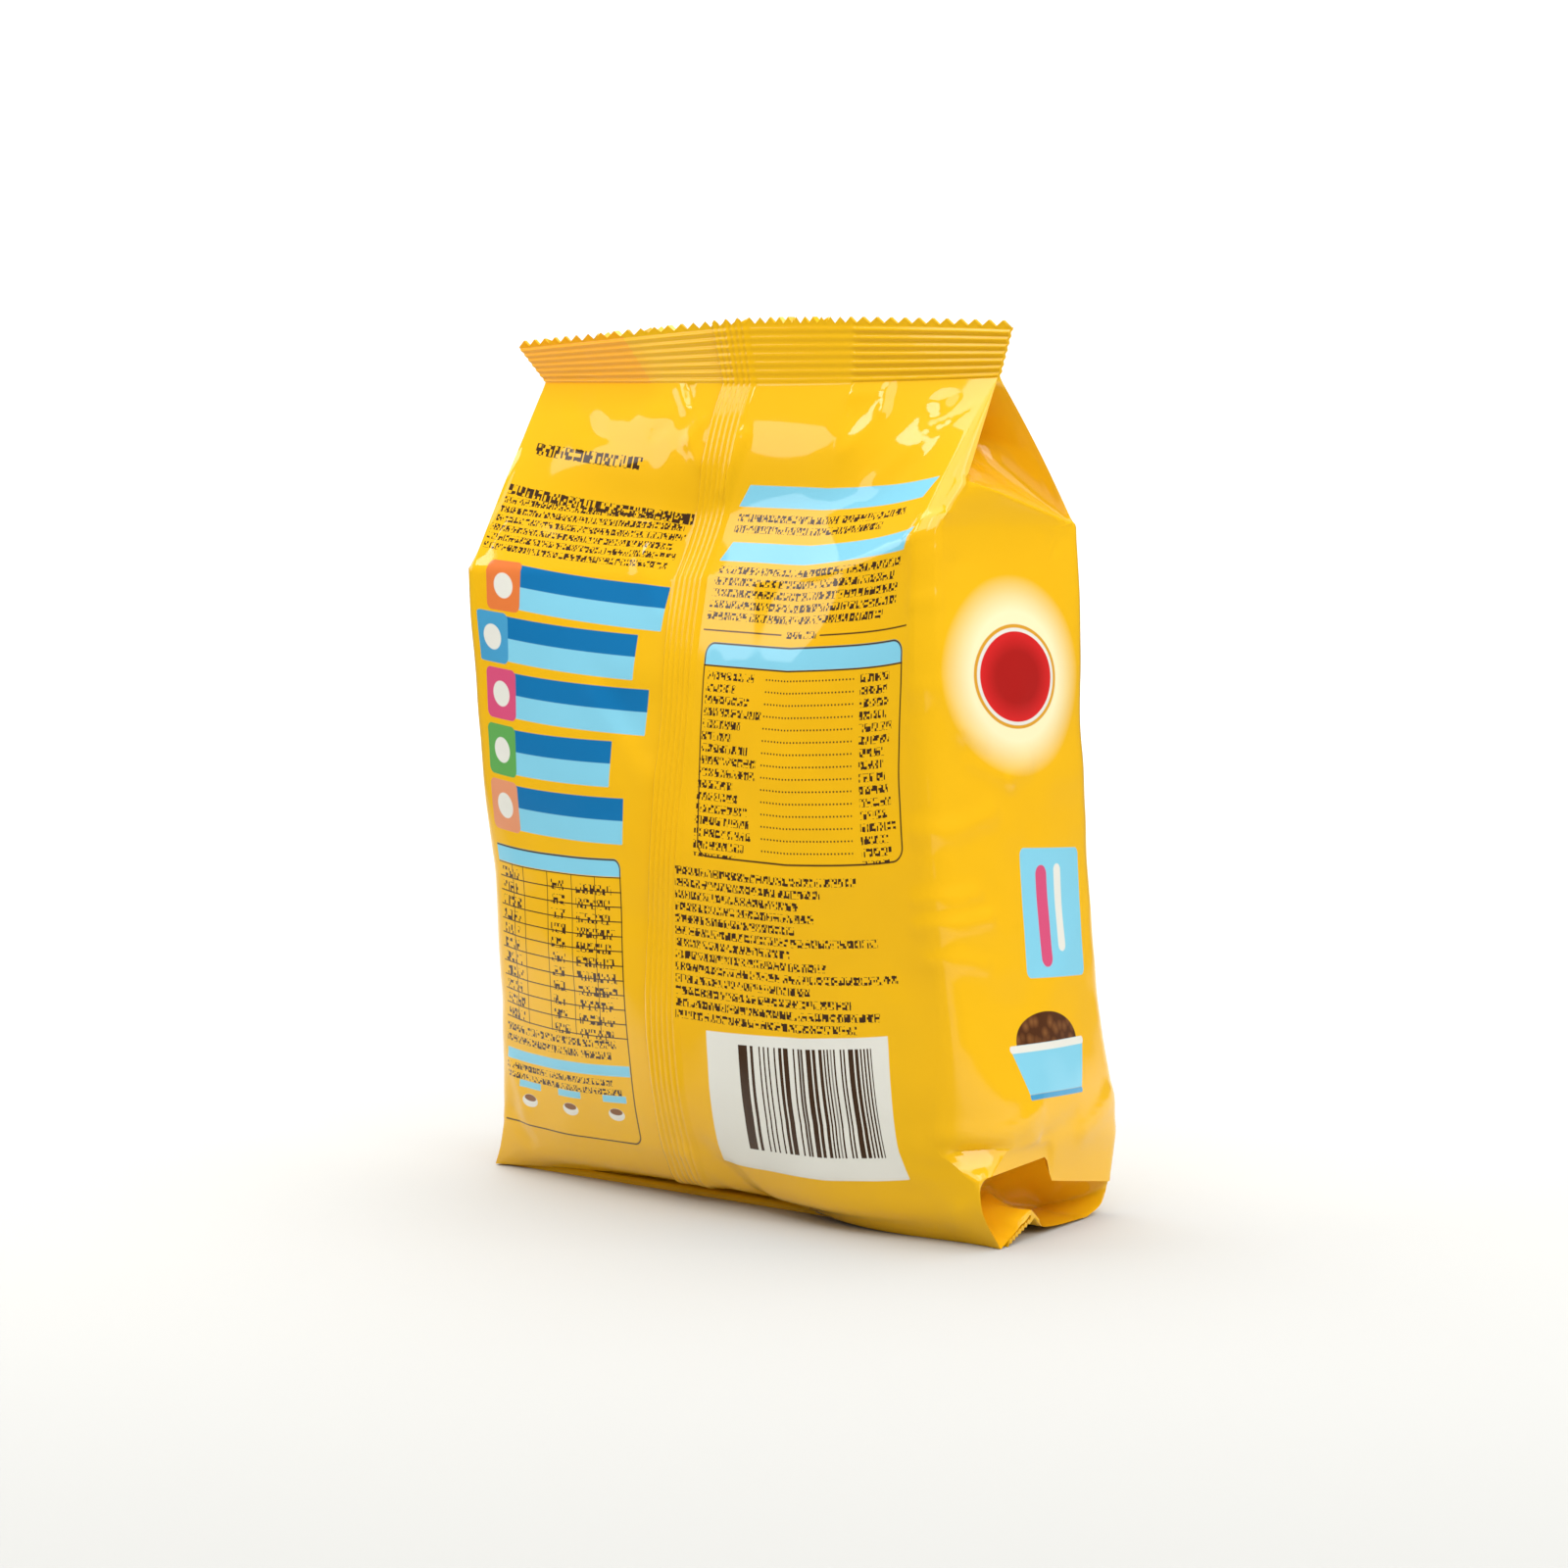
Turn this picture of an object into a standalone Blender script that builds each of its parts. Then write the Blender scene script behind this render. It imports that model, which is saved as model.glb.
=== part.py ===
"""Stand-up side-gusset film pouch, filled and sealed, standing on its folded bottom seal.

The pouch is one closed solid. A ring of film is extruded from the toothed top edge down the
bag, station by station, round the bottom edge and out to the end of the bottom seal.
"""
import math
from collections import namedtuple

import bmesh
import bpy
from mathutils import Vector

MM = 0.001

# Film tube as the machine makes it, in millimetres
PANEL_WIDTH = 140.0
GUSSET_WIDTH = 50.0
TUCK_PLY = 0.9

# Top seal, in millimetres
TOOTH_COUNT = 42
TOOTH_HEIGHT = 1.4
RIB_COUNT = 6
RIB_HEIGHT = 0.22
SEAL_KINK_AT = 0.735
SEAL_KINK_DEPTH = 6.2
ARCH_TOP = 195.0

# Fin seal down the back, laid over to the right of its free edge, in millimetres. Above the belly
# it and the film round it, as far as the reach, are drawn to the right by the shift.
FIN_WIDTH = 10.0
FIN_CENTRE = 59.0
FIN_SHIFT = 7.5
FIN_SHIFT_REACH = 46.0
FIN_STEP = 0.55
FIN_RIB_HEIGHT = 0.22
FIN_RIBS = 6

# Centre and reach of the swell of the back's right half, as shares of its width
SWELL_AT = 0.74
SWELL_REACH = 0.26

# How far the side panels belly out between the shoulders and the base, in millimetres
SIDE_BELLY = 3.0
# Share of the gable, from the shoulder up, over which the right tuck opens from the front only,
# and how far the crease under it bows out, in millimetres
RIGHT_TUCK_LAG = 0.34
CREASE_BOW = 1.2
# Flat strip down the upper part of the back's right edge, in millimetres
EDGE_STRIP = 3.4
# The right side's mouth at the base rises from the back to a step down, at these shares of the
# gusset, and how high, in millimetres
MOUTH_STEP = (0.44, 0.48)
MOUTH_LIFT = 4.6
# Shares of a tuck's run, from its mouth to its seal, between which it closes again
TOP_TUCK_CLOSES = (0.75, 0.98)
BASE_TUCK_CLOSES = (0.62, 0.86)
# Ceiling of the tucks in the base above the floor at their mouths, and how far the base is
# pressed flat by its weight, in millimetres
BASE_TUCK_HEIGHT = 15.0
SETTLE = 0.15

COLUMNS_PER_GUSSET = 8
COLUMNS_PER_CORNER = 3
FIN_SPLIT = 4

# One station round the bag. A corner is (x, y, z) and a middle (y, z), in millimetres, with the
# back of the pouch facing -Y. A sharp station is a crease across the film, and swell is how far
# the right half of the back stands out beyond its bow.
Station = namedtuple(
    "Station",
    "name rows sharp radius swell back_left back_middle back_right"
    " front_right front_middle front_left",
)
STATIONS = (
    Station("seal top", 2 * RIB_COUNT, True, 0.2, 0.0,
            (-74.3, 1.8, 190.4), (-1.0, ARCH_TOP), (60.2, 2.3, 193.6),
            (60.2, 3.2, 193.6), (0.0, ARCH_TOP), (-74.3, 2.7, 190.4)),
    Station("seal root", 3, True, 0.25, 0.0,
            (-66.0, 1.4, 182.3), (-1.5, 182.0), (57.4, 1.8, 183.2),
            (57.4, 2.7, 183.2), (-0.5, 182.0), (-66.0, 2.3, 182.3)),
    Station("upper gable", 3, False, 1.2, 1.5,
            (-67.2, -7.0, 168.0), (-6.8, 166.5), (57.6, -6.8, 172.5),
            (60.3, 10.5, 172.0), (8.0, 167.0), (-67.0, 9.5, 170.0)),
    Station("lower gable", 2, False, 2.0, 2.0,
            (-68.6, -15.0, 154.0), (-11.5, 152.0), (57.0, -14.8, 162.5),
            (62.7, 17.5, 161.5), (13.5, 153.0), (-67.6, 17.0, 158.0)),
    Station("shoulder", 2, True, 2.5, 2.0,
            (-70.0, -23.0, 140.0), (-17.0, 139.5), (55.6, -23.2, 152.0),
            (64.4, 24.6, 151.0), (18.5, 141.0), (-69.3, 24.0, 146.0)),
    Station("upper body", 3, False, 4.0, 2.0,
            (-68.9, -23.4, 122.0), (-22.5, 121.0), (56.9, -25.4, 126.0),
            (65.8, 25.2, 126.0), (24.0, 122.0), (-68.6, 25.0, 124.0)),
    Station("middle body", 3, False, 4.5, 2.0,
            (-67.0, -23.4, 97.0), (-26.5, 97.0), (58.2, -25.2, 99.0),
            (66.6, 25.4, 98.0), (27.5, 97.0), (-68.3, 25.0, 98.0)),
    Station("belly", 3, False, 4.5, 1.5,
            (-64.2, -22.2, 70.0), (-29.3, 70.0), (61.2, -24.8, 72.0),
            (67.8, 26.6, 70.0), (30.5, 70.0), (-69.0, 25.0, 70.0)),
    Station("lower body", 2, False, 4.0, 1.0,
            (-62.8, -20.8, 42.0), (-30.2, 41.0), (65.4, -23.8, 43.0),
            (69.8, 28.2, 42.0), (31.5, 41.0), (-69.6, 25.0, 42.0)),
    Station("low body", 1, False, 3.5, 1.0,
            (-63.6, -19.2, 24.0), (-28.0, 24.0), (67.8, -22.6, 27.0),
            (71.9, 31.2, 19.0), (30.0, 24.0), (-70.4, 24.6, 26.0)),
    Station("tuck mouth", 1, True, 2.0, 3.5,
            (-65.0, -17.8, 13.0), (-23.5, 12.5), (69.0, -20.6, 16.0),
            (71.6, 29.0, 7.0), (27.6, 12.0), (-71.0, 23.4, 14.0)),
    Station("base round", 1, False, 1.5, 5.5,
            (-67.6, -16.0, 5.5), (-17.5, 5.0), (69.2, -19.4, 8.3),
            (71.3, 25.8, 2.4), (24.5, 4.0), (-71.0, 21.4, 5.0)),
    Station("base edge", 2, True, 0.8, 6.0,
            (-70.4, -14.2, 0.4), (-9.5, 2.2), (70.5, -15.0, 0.2),
            (70.7, 20.0, 0.5), (20.0, 0.0), (-70.7, 18.0, 0.5)),
    Station("flap", 2, False, 0.6, 2.0,
            (-70.4, -8.0, 2.2), (-6.0, 2.4), (70.5, -9.4, 2.8),
            (70.6, 2.0, 1.8), (8.0, 0.0), (-70.4, 4.0, 0.5)),
    Station("base seal root", 1, True, 0.3, 0.0,
            (-70.2, -2.6, 3.2), (-1.6, 2.2), (70.5, -3.4, 5.7),
            (70.5, -2.2, 4.6), (0.6, 0.0), (-70.2, -1.4, 2.2)),
    Station("base seal turn", 1, True, 0.2, 0.0,
            (-70.1, -2.8, 2.2), (-1.8, 1.0), (70.4, -3.8, 4.4),
            (70.4, -4.0, 3.5), (-1.8, 0.0), (-70.1, -2.9, 1.3)),
    Station("base seal end", 0, True, 0.2, 0.0,
            (-70.0, -12.0, 1.0), (-11.6, 0.95), (70.3, -12.0, 1.1),
            (70.3, -12.2, 0.2), (-11.6, 0.0), (-70.0, -12.2, 0.1)),
)
INDEX = {station.name: place for place, station in enumerate(STATIONS)}
TOP_ROOT = INDEX["seal root"]
SHOULDER = INDEX["shoulder"]
MOUTH = INDEX["tuck mouth"]
BASE_EDGE = INDEX["base edge"]
BASE_ROOT = INDEX["base seal root"]


def mix(a, b, t):
    return a + (b - a) * t


def clamp(t):
    return min(max(t, 0.0), 1.0)


def ease(t):
    t = clamp(t)
    return t * t * (3.0 - 2.0 * t)


def along(field, v):
    """Value of one rail at place v between stations, smooth except at sharp stations."""
    values = [Vector(getattr(station, field)) for station in STATIONS]
    i = min(int(v), len(values) - 2)
    f = v - i
    here = values[i]
    there = values[i + 1]
    step = (there - here).length
    leave = there - here
    arrive = there - here
    if i > 0 and not STATIONS[i].sharp:
        before = values[i - 1]
        leave = (there - before) * (step / max(step + (here - before).length, 1e-6))
    if i + 2 < len(values) and not STATIONS[i + 1].sharp:
        after = values[i + 2]
        arrive = (after - here) * (step / max(step + (after - there).length, 1e-6))
    square = f * f
    cube = square * f
    return (here * (2 * cube - 3 * square + 1) + leave * (cube - 2 * square + f)
            + there * (3 * square - 2 * cube) + arrive * (cube - square))


def number_along(field, v):
    i = min(int(v), len(STATIONS) - 2)
    return mix(getattr(STATIONS[i], field), getattr(STATIONS[i + 1], field), v - i)


def seal_share(v):
    """1 in the top seal, fading out down the gable."""
    return 1.0 - ease((v - TOP_ROOT) / 2.0)


def panel(side, v, s):
    """Point on the back or front panel, with s from 0 at its left end to 1 at its right."""
    left = along(side + "_left", v)
    right = along(side + "_right", v)
    middle = along(side + "_middle", v)
    from_middle = 2.0 * s - 1.0
    end = right if from_middle > 0.0 else left
    weight = abs(from_middle) ** 2.3
    x = mix(left.x, right.x, s)
    bowed_y = mix(middle.x, end.y, weight)
    if side == "back":
        bowed_y -= number_along("swell", v) * ease(1.0 - abs(s - SWELL_AT) / SWELL_REACH)
    if from_middle < 0.0:
        weight = mix(weight, abs(from_middle), seal_share(v))
    z = mix(middle.y, end.z, weight)
    if s < SEAL_KINK_AT:
        kink = s / SEAL_KINK_AT
    else:
        kink = (1.0 - s) / (1.0 - SEAL_KINK_AT)
    straight_y = mix(left.y, right.y, s) - SEAL_KINK_DEPTH * kink
    return Vector((x, mix(bowed_y, straight_y, seal_share(v)), z))


def inward(side, v):
    """Direction into the bag from a panel: level on the body and up on the base flaps."""
    turn = ease((v - MOUTH) / (BASE_EDGE + 0.6 - MOUTH)) * math.pi / 2
    level = math.cos(turn) * (1.0 if side == "back" else -1.0)
    return Vector((0.0, level, math.sin(turn)))


def panel_from_edge(side, hand, v, distance, depth):
    """Point on the inner side of a panel, distance in from its left or right edge."""
    share = distance / PANEL_WIDTH
    s = 1.0 - share if hand == "right" else share
    return panel(side, v, s) + inward(side, v) * depth


def tuck_shares(hand, v):
    """How much of the gusset lies folded on the back panel and on the front panel at v."""
    if v < SHOULDER:
        run = (SHOULDER - v) / (SHOULDER - TOP_ROOT)
        lag = RIGHT_TUCK_LAG if hand == "right" else 0.0
        back_run = clamp((run - lag) / (1.0 - lag))
        start, end = TOP_TUCK_CLOSES
    else:
        run = (v - MOUTH) / (BASE_ROOT - MOUTH)
        back_run = clamp(run)
        start, end = BASE_TUCK_CLOSES
    run = clamp(run)
    closing = 1.0 - ease((run - start) / (end - start))
    return 0.5 * back_run * closing, 0.5 * run * closing, run


def mouth_lift(hand, v, s):
    """Rise of the right side's mouth above its two corners."""
    if hand == "left" or v > MOUTH:
        return 0.0
    start, end = MOUTH_STEP
    ramp = s / start if s < start else clamp((end - s) / (end - start))
    return MOUTH_LIFT * ramp * ease(v - MOUTH + 1.0)


def gusset(hand, v, s):
    """Point on a side panel, with the right tuck's inner fold rounded by the gable."""
    if hand == "left" or not TOP_ROOT < v < SHOULDER:
        point = folded(hand, v, s)
        point.z += mouth_lift(hand, v, s)
        return point
    back_share, front_share, run = tuck_shares(hand, v)
    fold = 1.0 - front_share
    crease = max(back_share, (1.0 - run / RIGHT_TUCK_LAG) * fold)
    reach = 0.95 * min(front_share, fold - crease) * (1.0 - ease((run - 0.5) / 0.3))
    if abs(s - fold) >= reach:
        return folded(hand, v, s)
    t = (s - fold + reach) / (2.0 * reach)
    return (folded(hand, v, fold - reach) * (1 - t) ** 2
            + folded(hand, v, fold) * 2 * t * (1 - t)
            + folded(hand, v, fold + reach) * t * t)


def folded(hand, v, s):
    """Point on a side panel, with s from 0 at the back edge to 1 at the front edge."""
    back_edge = along("back_" + hand, v)
    front_edge = along("front_" + hand, v)
    outward = Vector((1.0 if hand == "right" else -1.0, 0.0, 0.0))
    back_share, front_share, run = tuck_shares(hand, v)
    if TOP_ROOT < v < SHOULDER or MOUTH < v < BASE_ROOT:
        ply = min(TUCK_PLY, 0.25 * (front_edge - back_edge).length)
        if s < back_share:
            return panel_from_edge("back", hand, v, s * GUSSET_WIDTH, ply * s / back_share)
        if s > 1.0 - front_share:
            reach = 1.0 - s
            return panel_from_edge("front", hand, v, reach * GUSSET_WIDTH,
                                   ply * reach / front_share)
        a = panel_from_edge("back", hand, v, back_share * GUSSET_WIDTH,
                            ply if back_share > 0.0 else 0.0)
        b = panel_from_edge("front", hand, v, front_share * GUSSET_WIDTH, ply)
        t = (s - back_share) / (1.0 - back_share - front_share)
        point = a.lerp(b, t)
        if v > MOUTH:
            rise = BASE_TUCK_HEIGHT * (1.0 - run) + 2.0 - point.z
            point.z += max(rise, 0.0) * (1.0 - abs(2.0 * t - 1.0) ** 3)
            if v > BASE_EDGE:
                ridge = along("back_" + hand, BASE_ROOT)
                foot = a if point.y < ridge.y else b
                up = clamp((point.y - foot.y) / (ridge.y - foot.y))
                point.z = max(point.z, mix(foot.z, ridge.z + ply, up))
            return point
        lag = RIGHT_TUCK_LAG if hand == "right" else 0.0
        if run < lag:
            crossing = 1.0 - run / lag
            top = along("back_" + hand, SHOULDER - lag * (SHOULDER - TOP_ROOT))
            low = along("front_" + hand, SHOULDER)
            rise = run / lag
            crease = low.lerp(top, rise)
            crease += outward * CREASE_BOW * 6.75 * rise * rise * (1.0 - rise)
            if t < crossing:
                point = a.lerp(crease, t / crossing)
            else:
                point = crease.lerp(b, (t - crossing) / (1.0 - crossing))
        return point
    belly = SIDE_BELLY * ease((v - SHOULDER) / 1.5) * ease((MOUTH - v) / 1.5)
    return back_edge.lerp(front_edge, s) + outward * belly * (1.0 - abs(2.0 * s - 1.0) ** 2)


def drawn_over(place, v):
    """Place across the back, once the fin and the film round it are drawn to the right."""
    from_fin = abs(place * PANEL_WIDTH - FIN_CENTRE) / FIN_SHIFT_REACH
    shift = FIN_SHIFT * (1.0 - ease((v - 5.3) / 2.9)) * (1.0 - ease((from_fin - 0.12) / 0.88))
    return place + shift / PANEL_WIDTH


def fin_height(distance):
    """Rise of the fin seal above the panel, by distance in from the panel's left edge."""
    place = (distance - FIN_CENTRE) / FIN_WIDTH + 0.5
    if place <= 0.0 or place >= 1.0:
        return 0.0
    wave = abs(2.0 * ((place * FIN_RIBS) % 1.0) - 1.0)
    return FIN_STEP * (1.0 - place) + FIN_RIB_HEIGHT * wave


def back_columns():
    """Places across the back panel: one column to a tooth, and finer ones in the fin seal."""
    pitch = PANEL_WIDTH / TOOTH_COUNT
    first = round((FIN_CENTRE - FIN_WIDTH / 2) / pitch)
    last = first + round(FIN_WIDTH / pitch)
    places = []
    for tooth in range(TOOTH_COUNT):
        split = FIN_SPLIT if first <= tooth < last else 1
        for part in range(split):
            places.append((tooth + part / split) / TOOTH_COUNT)
    places.append(1.0)
    return places


def front_columns():
    return [1.0 - tooth / TOOTH_COUNT for tooth in range(TOOTH_COUNT + 1)]


def gusset_columns(hand, v):
    """Places across a gusset, gathered so that a column follows each diagonal fold."""
    back_share, front_share, run = tuck_shares(hand, v)
    at_back = 0.375
    at_front = 0.625
    if TOP_ROOT < v < BASE_ROOT and run > 0.0:
        at_back = max(back_share, 0.08)
        at_front = 1.0 - max(front_share, 0.08)
    if hand == "right" and TOP_ROOT < v < SHOULDER + 1.0:
        crossing = (1.0 - run / RIGHT_TUCK_LAG) * (1.0 - front_share)
        at_back = max(at_back, crossing * 0.9)
        if v > SHOULDER:
            at_back = mix(0.9, 0.375, v - SHOULDER)
            at_front = mix(0.96, 0.625, v - SHOULDER)
    if at_front - at_back < 0.06:
        centre = min((at_front + at_back) / 2, 0.93)
        at_back = centre - 0.03
        at_front = centre + 0.03
    places = []
    for column in range(COLUMNS_PER_GUSSET + 1):
        t = column / COLUMNS_PER_GUSSET
        if t < 0.375:
            places.append(at_back * t / 0.375)
        elif t <= 0.625:
            places.append(mix(at_back, at_front, (t - 0.375) / 0.25))
        else:
            places.append(mix(at_front, 1.0, (t - 0.625) / 0.375))
    return places


def corner(before, point, after):
    """Points round a corner of the ring, without its two ends."""
    steps = COLUMNS_PER_CORNER
    arc = []
    for step in range(1, steps):
        t = step / steps
        arc.append(before * (1 - t) ** 2 + point * 2 * t * (1 - t) + after * t * t)
    return arc


def ring(v):
    """All points of one row: back panel, right gusset, front panel and left gusset."""
    trim = number_along("radius", v) / PANEL_WIDTH
    side_trim = min(number_along("radius", v) / GUSSET_WIDTH, 0.3)
    strip = ease((v - TOP_ROOT) / 0.5) * (1.0 - ease((v - SHOULDER - 0.8) / 1.2))
    edge_trim = mix(trim, EDGE_STRIP / PANEL_WIDTH, strip)
    edge_side_trim = mix(side_trim, EDGE_STRIP / GUSSET_WIDTH, strip)
    ribs = 0.0
    if v < TOP_ROOT:
        ribs = RIB_HEIGHT * (1.0 if round(v * 2 * RIB_COUNT) % 2 else -1.0)
    back = []
    for place in back_columns():
        point = panel("back", v, mix(trim, 1.0 - edge_trim, drawn_over(place, v)))
        rise = fin_height(place * PANEL_WIDTH)
        point -= inward("back", v) * rise * (1.0 - ease((v - BASE_EDGE + 1.0) / 1.0))
        back.append(point)
    front = [panel("front", v, mix(trim, 1.0 - trim, place)) for place in front_columns()]
    right = [gusset("right", v, mix(edge_side_trim, 1.0 - side_trim, place))
             for place in gusset_columns("right", v)]
    left = [gusset("left", v, mix(side_trim, 1.0 - side_trim, place))
            for place in gusset_columns("left", v)]
    left.reverse()
    points = list(back)
    points += corner(back[-1], along("back_right", v), right[0])
    points += right
    points += corner(right[-1], along("front_right", v), front[0])
    points += front
    points += corner(front[-1], along("front_left", v), left[0])
    points += left
    points += corner(left[-1], along("back_left", v), back[0])
    for point in points:
        point.y += ribs
        point.z = max(point.z - SETTLE, 0.0)
    return points


def rows():
    """Every v at which the film has a row, from the top edge to the end of the base seal."""
    places = []
    for i, station in enumerate(STATIONS[:-1]):
        for step in range(station.rows):
            places.append(i + step / station.rows)
    places.append(len(STATIONS) - 1.0)
    return places


def close_end(mesh, verts):
    """Close one end of the tube with a strip of faces between its back and front films."""
    back_count = len(back_columns())
    front_count = len(front_columns())
    between = 2 * (COLUMNS_PER_CORNER - 1) + COLUMNS_PER_GUSSET + 1
    front_start = back_count + between
    edges = []
    for i in range(back_count - 1):
        edges.append(mesh.edges.get((verts[i], verts[i + 1])))
    for i in range(front_start, front_start + front_count - 1):
        edges.append(mesh.edges.get((verts[i], verts[i + 1])))
    bmesh.ops.bridge_loops(mesh, edges=edges)
    for start in (back_count - 1, front_start + front_count - 1):
        gusset_verts = [verts[(start + i) % len(verts)] for i in range(between + 2)]
        bmesh.ops.contextual_create(mesh, geom=gusset_verts)


def cut_teeth(mesh, verts):
    """Raise a tooth from each top edge of the two panels between their own columns."""
    pitch = 1.0 / TOOTH_COUNT
    back = back_columns()
    for i, place in enumerate(back):
        inside = (place / pitch) % 1.0
        if 0.01 < inside < 0.99:
            verts[i].co.z += TOOTH_HEIGHT * MM * (1.0 - abs(2.0 * inside - 1.0))
    front_start = len(back) + 2 * (COLUMNS_PER_CORNER - 1) + COLUMNS_PER_GUSSET + 1
    edges = []
    for i in range(len(back) - 1):
        if back[i + 1] - back[i] > 0.9 * pitch:
            edges.append(mesh.edges.get((verts[i], verts[i + 1])))
    for i in range(front_start, front_start + TOOTH_COUNT):
        edges.append(mesh.edges.get((verts[i], verts[i + 1])))
    made = bmesh.ops.subdivide_edges(mesh, edges=edges, cuts=1)
    for element in made["geom_inner"]:
        if isinstance(element, bmesh.types.BMVert):
            element.co.z += TOOTH_HEIGHT * MM


def centre_on_origin(mesh):
    """Put the middle of the pouch's outer box over the origin, and its base on the floor."""
    low = Vector([min(vert.co[axis] for vert in mesh.verts) for axis in range(3)])
    high = Vector([max(vert.co[axis] for vert in mesh.verts) for axis in range(3)])
    middle = (low + high) / 2
    bmesh.ops.translate(mesh, verts=mesh.verts, vec=(-middle.x, -middle.y, -low.z))


def film_material():
    material = bpy.data.materials.new("film")
    material.use_nodes = True
    shader = material.node_tree.nodes["Principled BSDF"]
    shader.inputs["Base Color"].default_value = (0.93, 0.52, 0.008, 1.0)
    shader.inputs["Roughness"].default_value = 0.22
    shader.inputs["Metallic"].default_value = 0.0
    return material


def build_pouch():
    mesh = bmesh.new()
    places = rows()
    first = ring(places[0])
    made = bmesh.ops.create_circle(mesh, segments=len(first), radius=1.0)
    verts = list(made["verts"])
    for vert, point in zip(verts, first):
        vert.co = point * MM
    top = list(verts)
    for v in places[1:]:
        edges = []
        for i, vert in enumerate(verts):
            edges.append(mesh.edges.get((vert, verts[(i + 1) % len(verts)])))
        grown = bmesh.ops.extrude_edge_only(mesh, edges=edges)["geom"]
        fresh = {element for element in grown if isinstance(element, bmesh.types.BMVert)}
        following = []
        for vert in verts:
            for edge in vert.link_edges:
                other = edge.other_vert(vert)
                if other in fresh:
                    following.append(other)
                    break
        for vert, point in zip(following, ring(v)):
            vert.co = point * MM
        verts = following
    close_end(mesh, top)
    close_end(mesh, verts)
    cut_teeth(mesh, top)
    centre_on_origin(mesh)
    bmesh.ops.recalc_face_normals(mesh, faces=mesh.faces)
    if mesh.calc_volume(signed=True) < 0.0:
        bmesh.ops.reverse_faces(mesh, faces=mesh.faces)
    data = bpy.data.meshes.new("pouch")
    mesh.to_mesh(data)
    mesh.free()
    data.materials.append(film_material())
    data.shade_smooth()
    data.set_sharp_from_angle(angle=math.radians(35))
    pouch = bpy.data.objects.new("pouch", data)
    bpy.context.scene.collection.objects.link(pouch)
    return pouch


def main():
    for thing in list(bpy.data.objects):
        bpy.data.objects.remove(thing)
    build_pouch()


main()
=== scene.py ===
"""Stand-up side-gusset film pouch, filled and sealed, with its printed gloss film.

The film is one closed skin. It is extruded row by row from the toothed top edge down to the end
of the folded bottom seal, round the same stations as the solid that it stands for, and then
creased, crimped and dented along its own normals. Places on the film are in millimetres: U runs
round the bag from the back's left edge and V runs down the film from the top edge.
"""
import math
from collections import namedtuple

import bmesh
import bpy
from bpy.props import FloatProperty, FloatVectorProperty, PointerProperty
from mathutils import Matrix, Vector, noise


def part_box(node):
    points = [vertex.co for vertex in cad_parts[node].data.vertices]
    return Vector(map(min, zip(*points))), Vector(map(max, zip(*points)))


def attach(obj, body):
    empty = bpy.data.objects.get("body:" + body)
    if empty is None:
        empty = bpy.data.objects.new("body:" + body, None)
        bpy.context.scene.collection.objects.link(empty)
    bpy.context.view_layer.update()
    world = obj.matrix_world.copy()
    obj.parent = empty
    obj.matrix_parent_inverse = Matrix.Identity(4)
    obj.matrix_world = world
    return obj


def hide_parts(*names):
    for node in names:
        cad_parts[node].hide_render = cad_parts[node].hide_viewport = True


bl_info = {
    "name": "Stand-up Film Pouch",
    "version": (1, 0, 0),
    "blender": (4, 5, 0),
    "location": "3D View > Sidebar > Pouch",
    "description": "Builds a filled side-gusset film pouch and a plain studio round it",
    "category": "Object",
}

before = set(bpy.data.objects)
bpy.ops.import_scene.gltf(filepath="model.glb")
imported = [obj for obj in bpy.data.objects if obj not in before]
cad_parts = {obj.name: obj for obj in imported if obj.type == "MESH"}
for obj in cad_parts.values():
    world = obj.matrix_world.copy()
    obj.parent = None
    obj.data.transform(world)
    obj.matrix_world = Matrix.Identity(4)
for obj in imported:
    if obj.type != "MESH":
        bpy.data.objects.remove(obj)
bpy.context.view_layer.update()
POUCH_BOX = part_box("pouch")

MM = 0.001

# Film tube as the machine makes it, in millimetres
PANEL_WIDTH = 140.0
GUSSET_WIDTH = 50.0
FILM_ROUND = 2.0 * (PANEL_WIDTH + GUSSET_WIDTH)
FILM_LENGTH = 260.0
TUCK_PLY = 0.9

# Top seal, in millimetres
TOOTH_COUNT = 42
RIB_COUNT = 7
SEAL_KINK_AT = 0.735
SEAL_KINK_DEPTH = 6.2
ARCH_TOP = 195.0

# Fin seal down the back, in millimetres
FIN_WIDTH = 10.0
FIN_CENTRE = 59.0
FIN_SHIFT = 7.5
FIN_SHIFT_REACH = 46.0
FIN_STEP = 0.55
FIN_RIBS = 6

# Centre and reach of the swell of the back's right half, as shares of its width
SWELL_AT = 0.74
SWELL_REACH = 0.26

# How far the side panels belly out between the shoulders and the base, in millimetres
SIDE_BELLY = 3.0
# Share of the gable, from the shoulder up, over which the right tuck opens from the front only,
# and how far the crease under it bows out, in millimetres
RIGHT_TUCK_LAG = 0.34
CREASE_BOW = 1.2
# Flat strip down the upper part of the back's right edge, and how far the tuck under it takes to
# fold in behind it, in millimetres
EDGE_STRIP = 3.6
STRIP_TURN_IN = 7.0
# Facet that cuts the back's right corner above the mouth: its place between stations, how far it
# reaches on the back and on the side, in millimetres, and how flat it is there and above
FACET_AT = 9.42
FACET_REACH = (9.0, 11.0)
FACET_FLATNESS = (0.35, 0.92)
# The right side's mouth at the base rises from the back to a step down, at these shares of the
# gusset, and how high, in millimetres
MOUTH_STEP = (0.475, 0.51)
MOUTH_LIFT = 5.3
# How far the tuck's film stands in behind the mouth's edge, in millimetres
MOUTH_SET_IN = 1.8
# Shares of a tuck's run, from its mouth to its seal, between which it closes again
TOP_TUCK_CLOSES = (0.75, 0.98)
BASE_TUCK_CLOSES = (0.62, 0.86)
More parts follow.
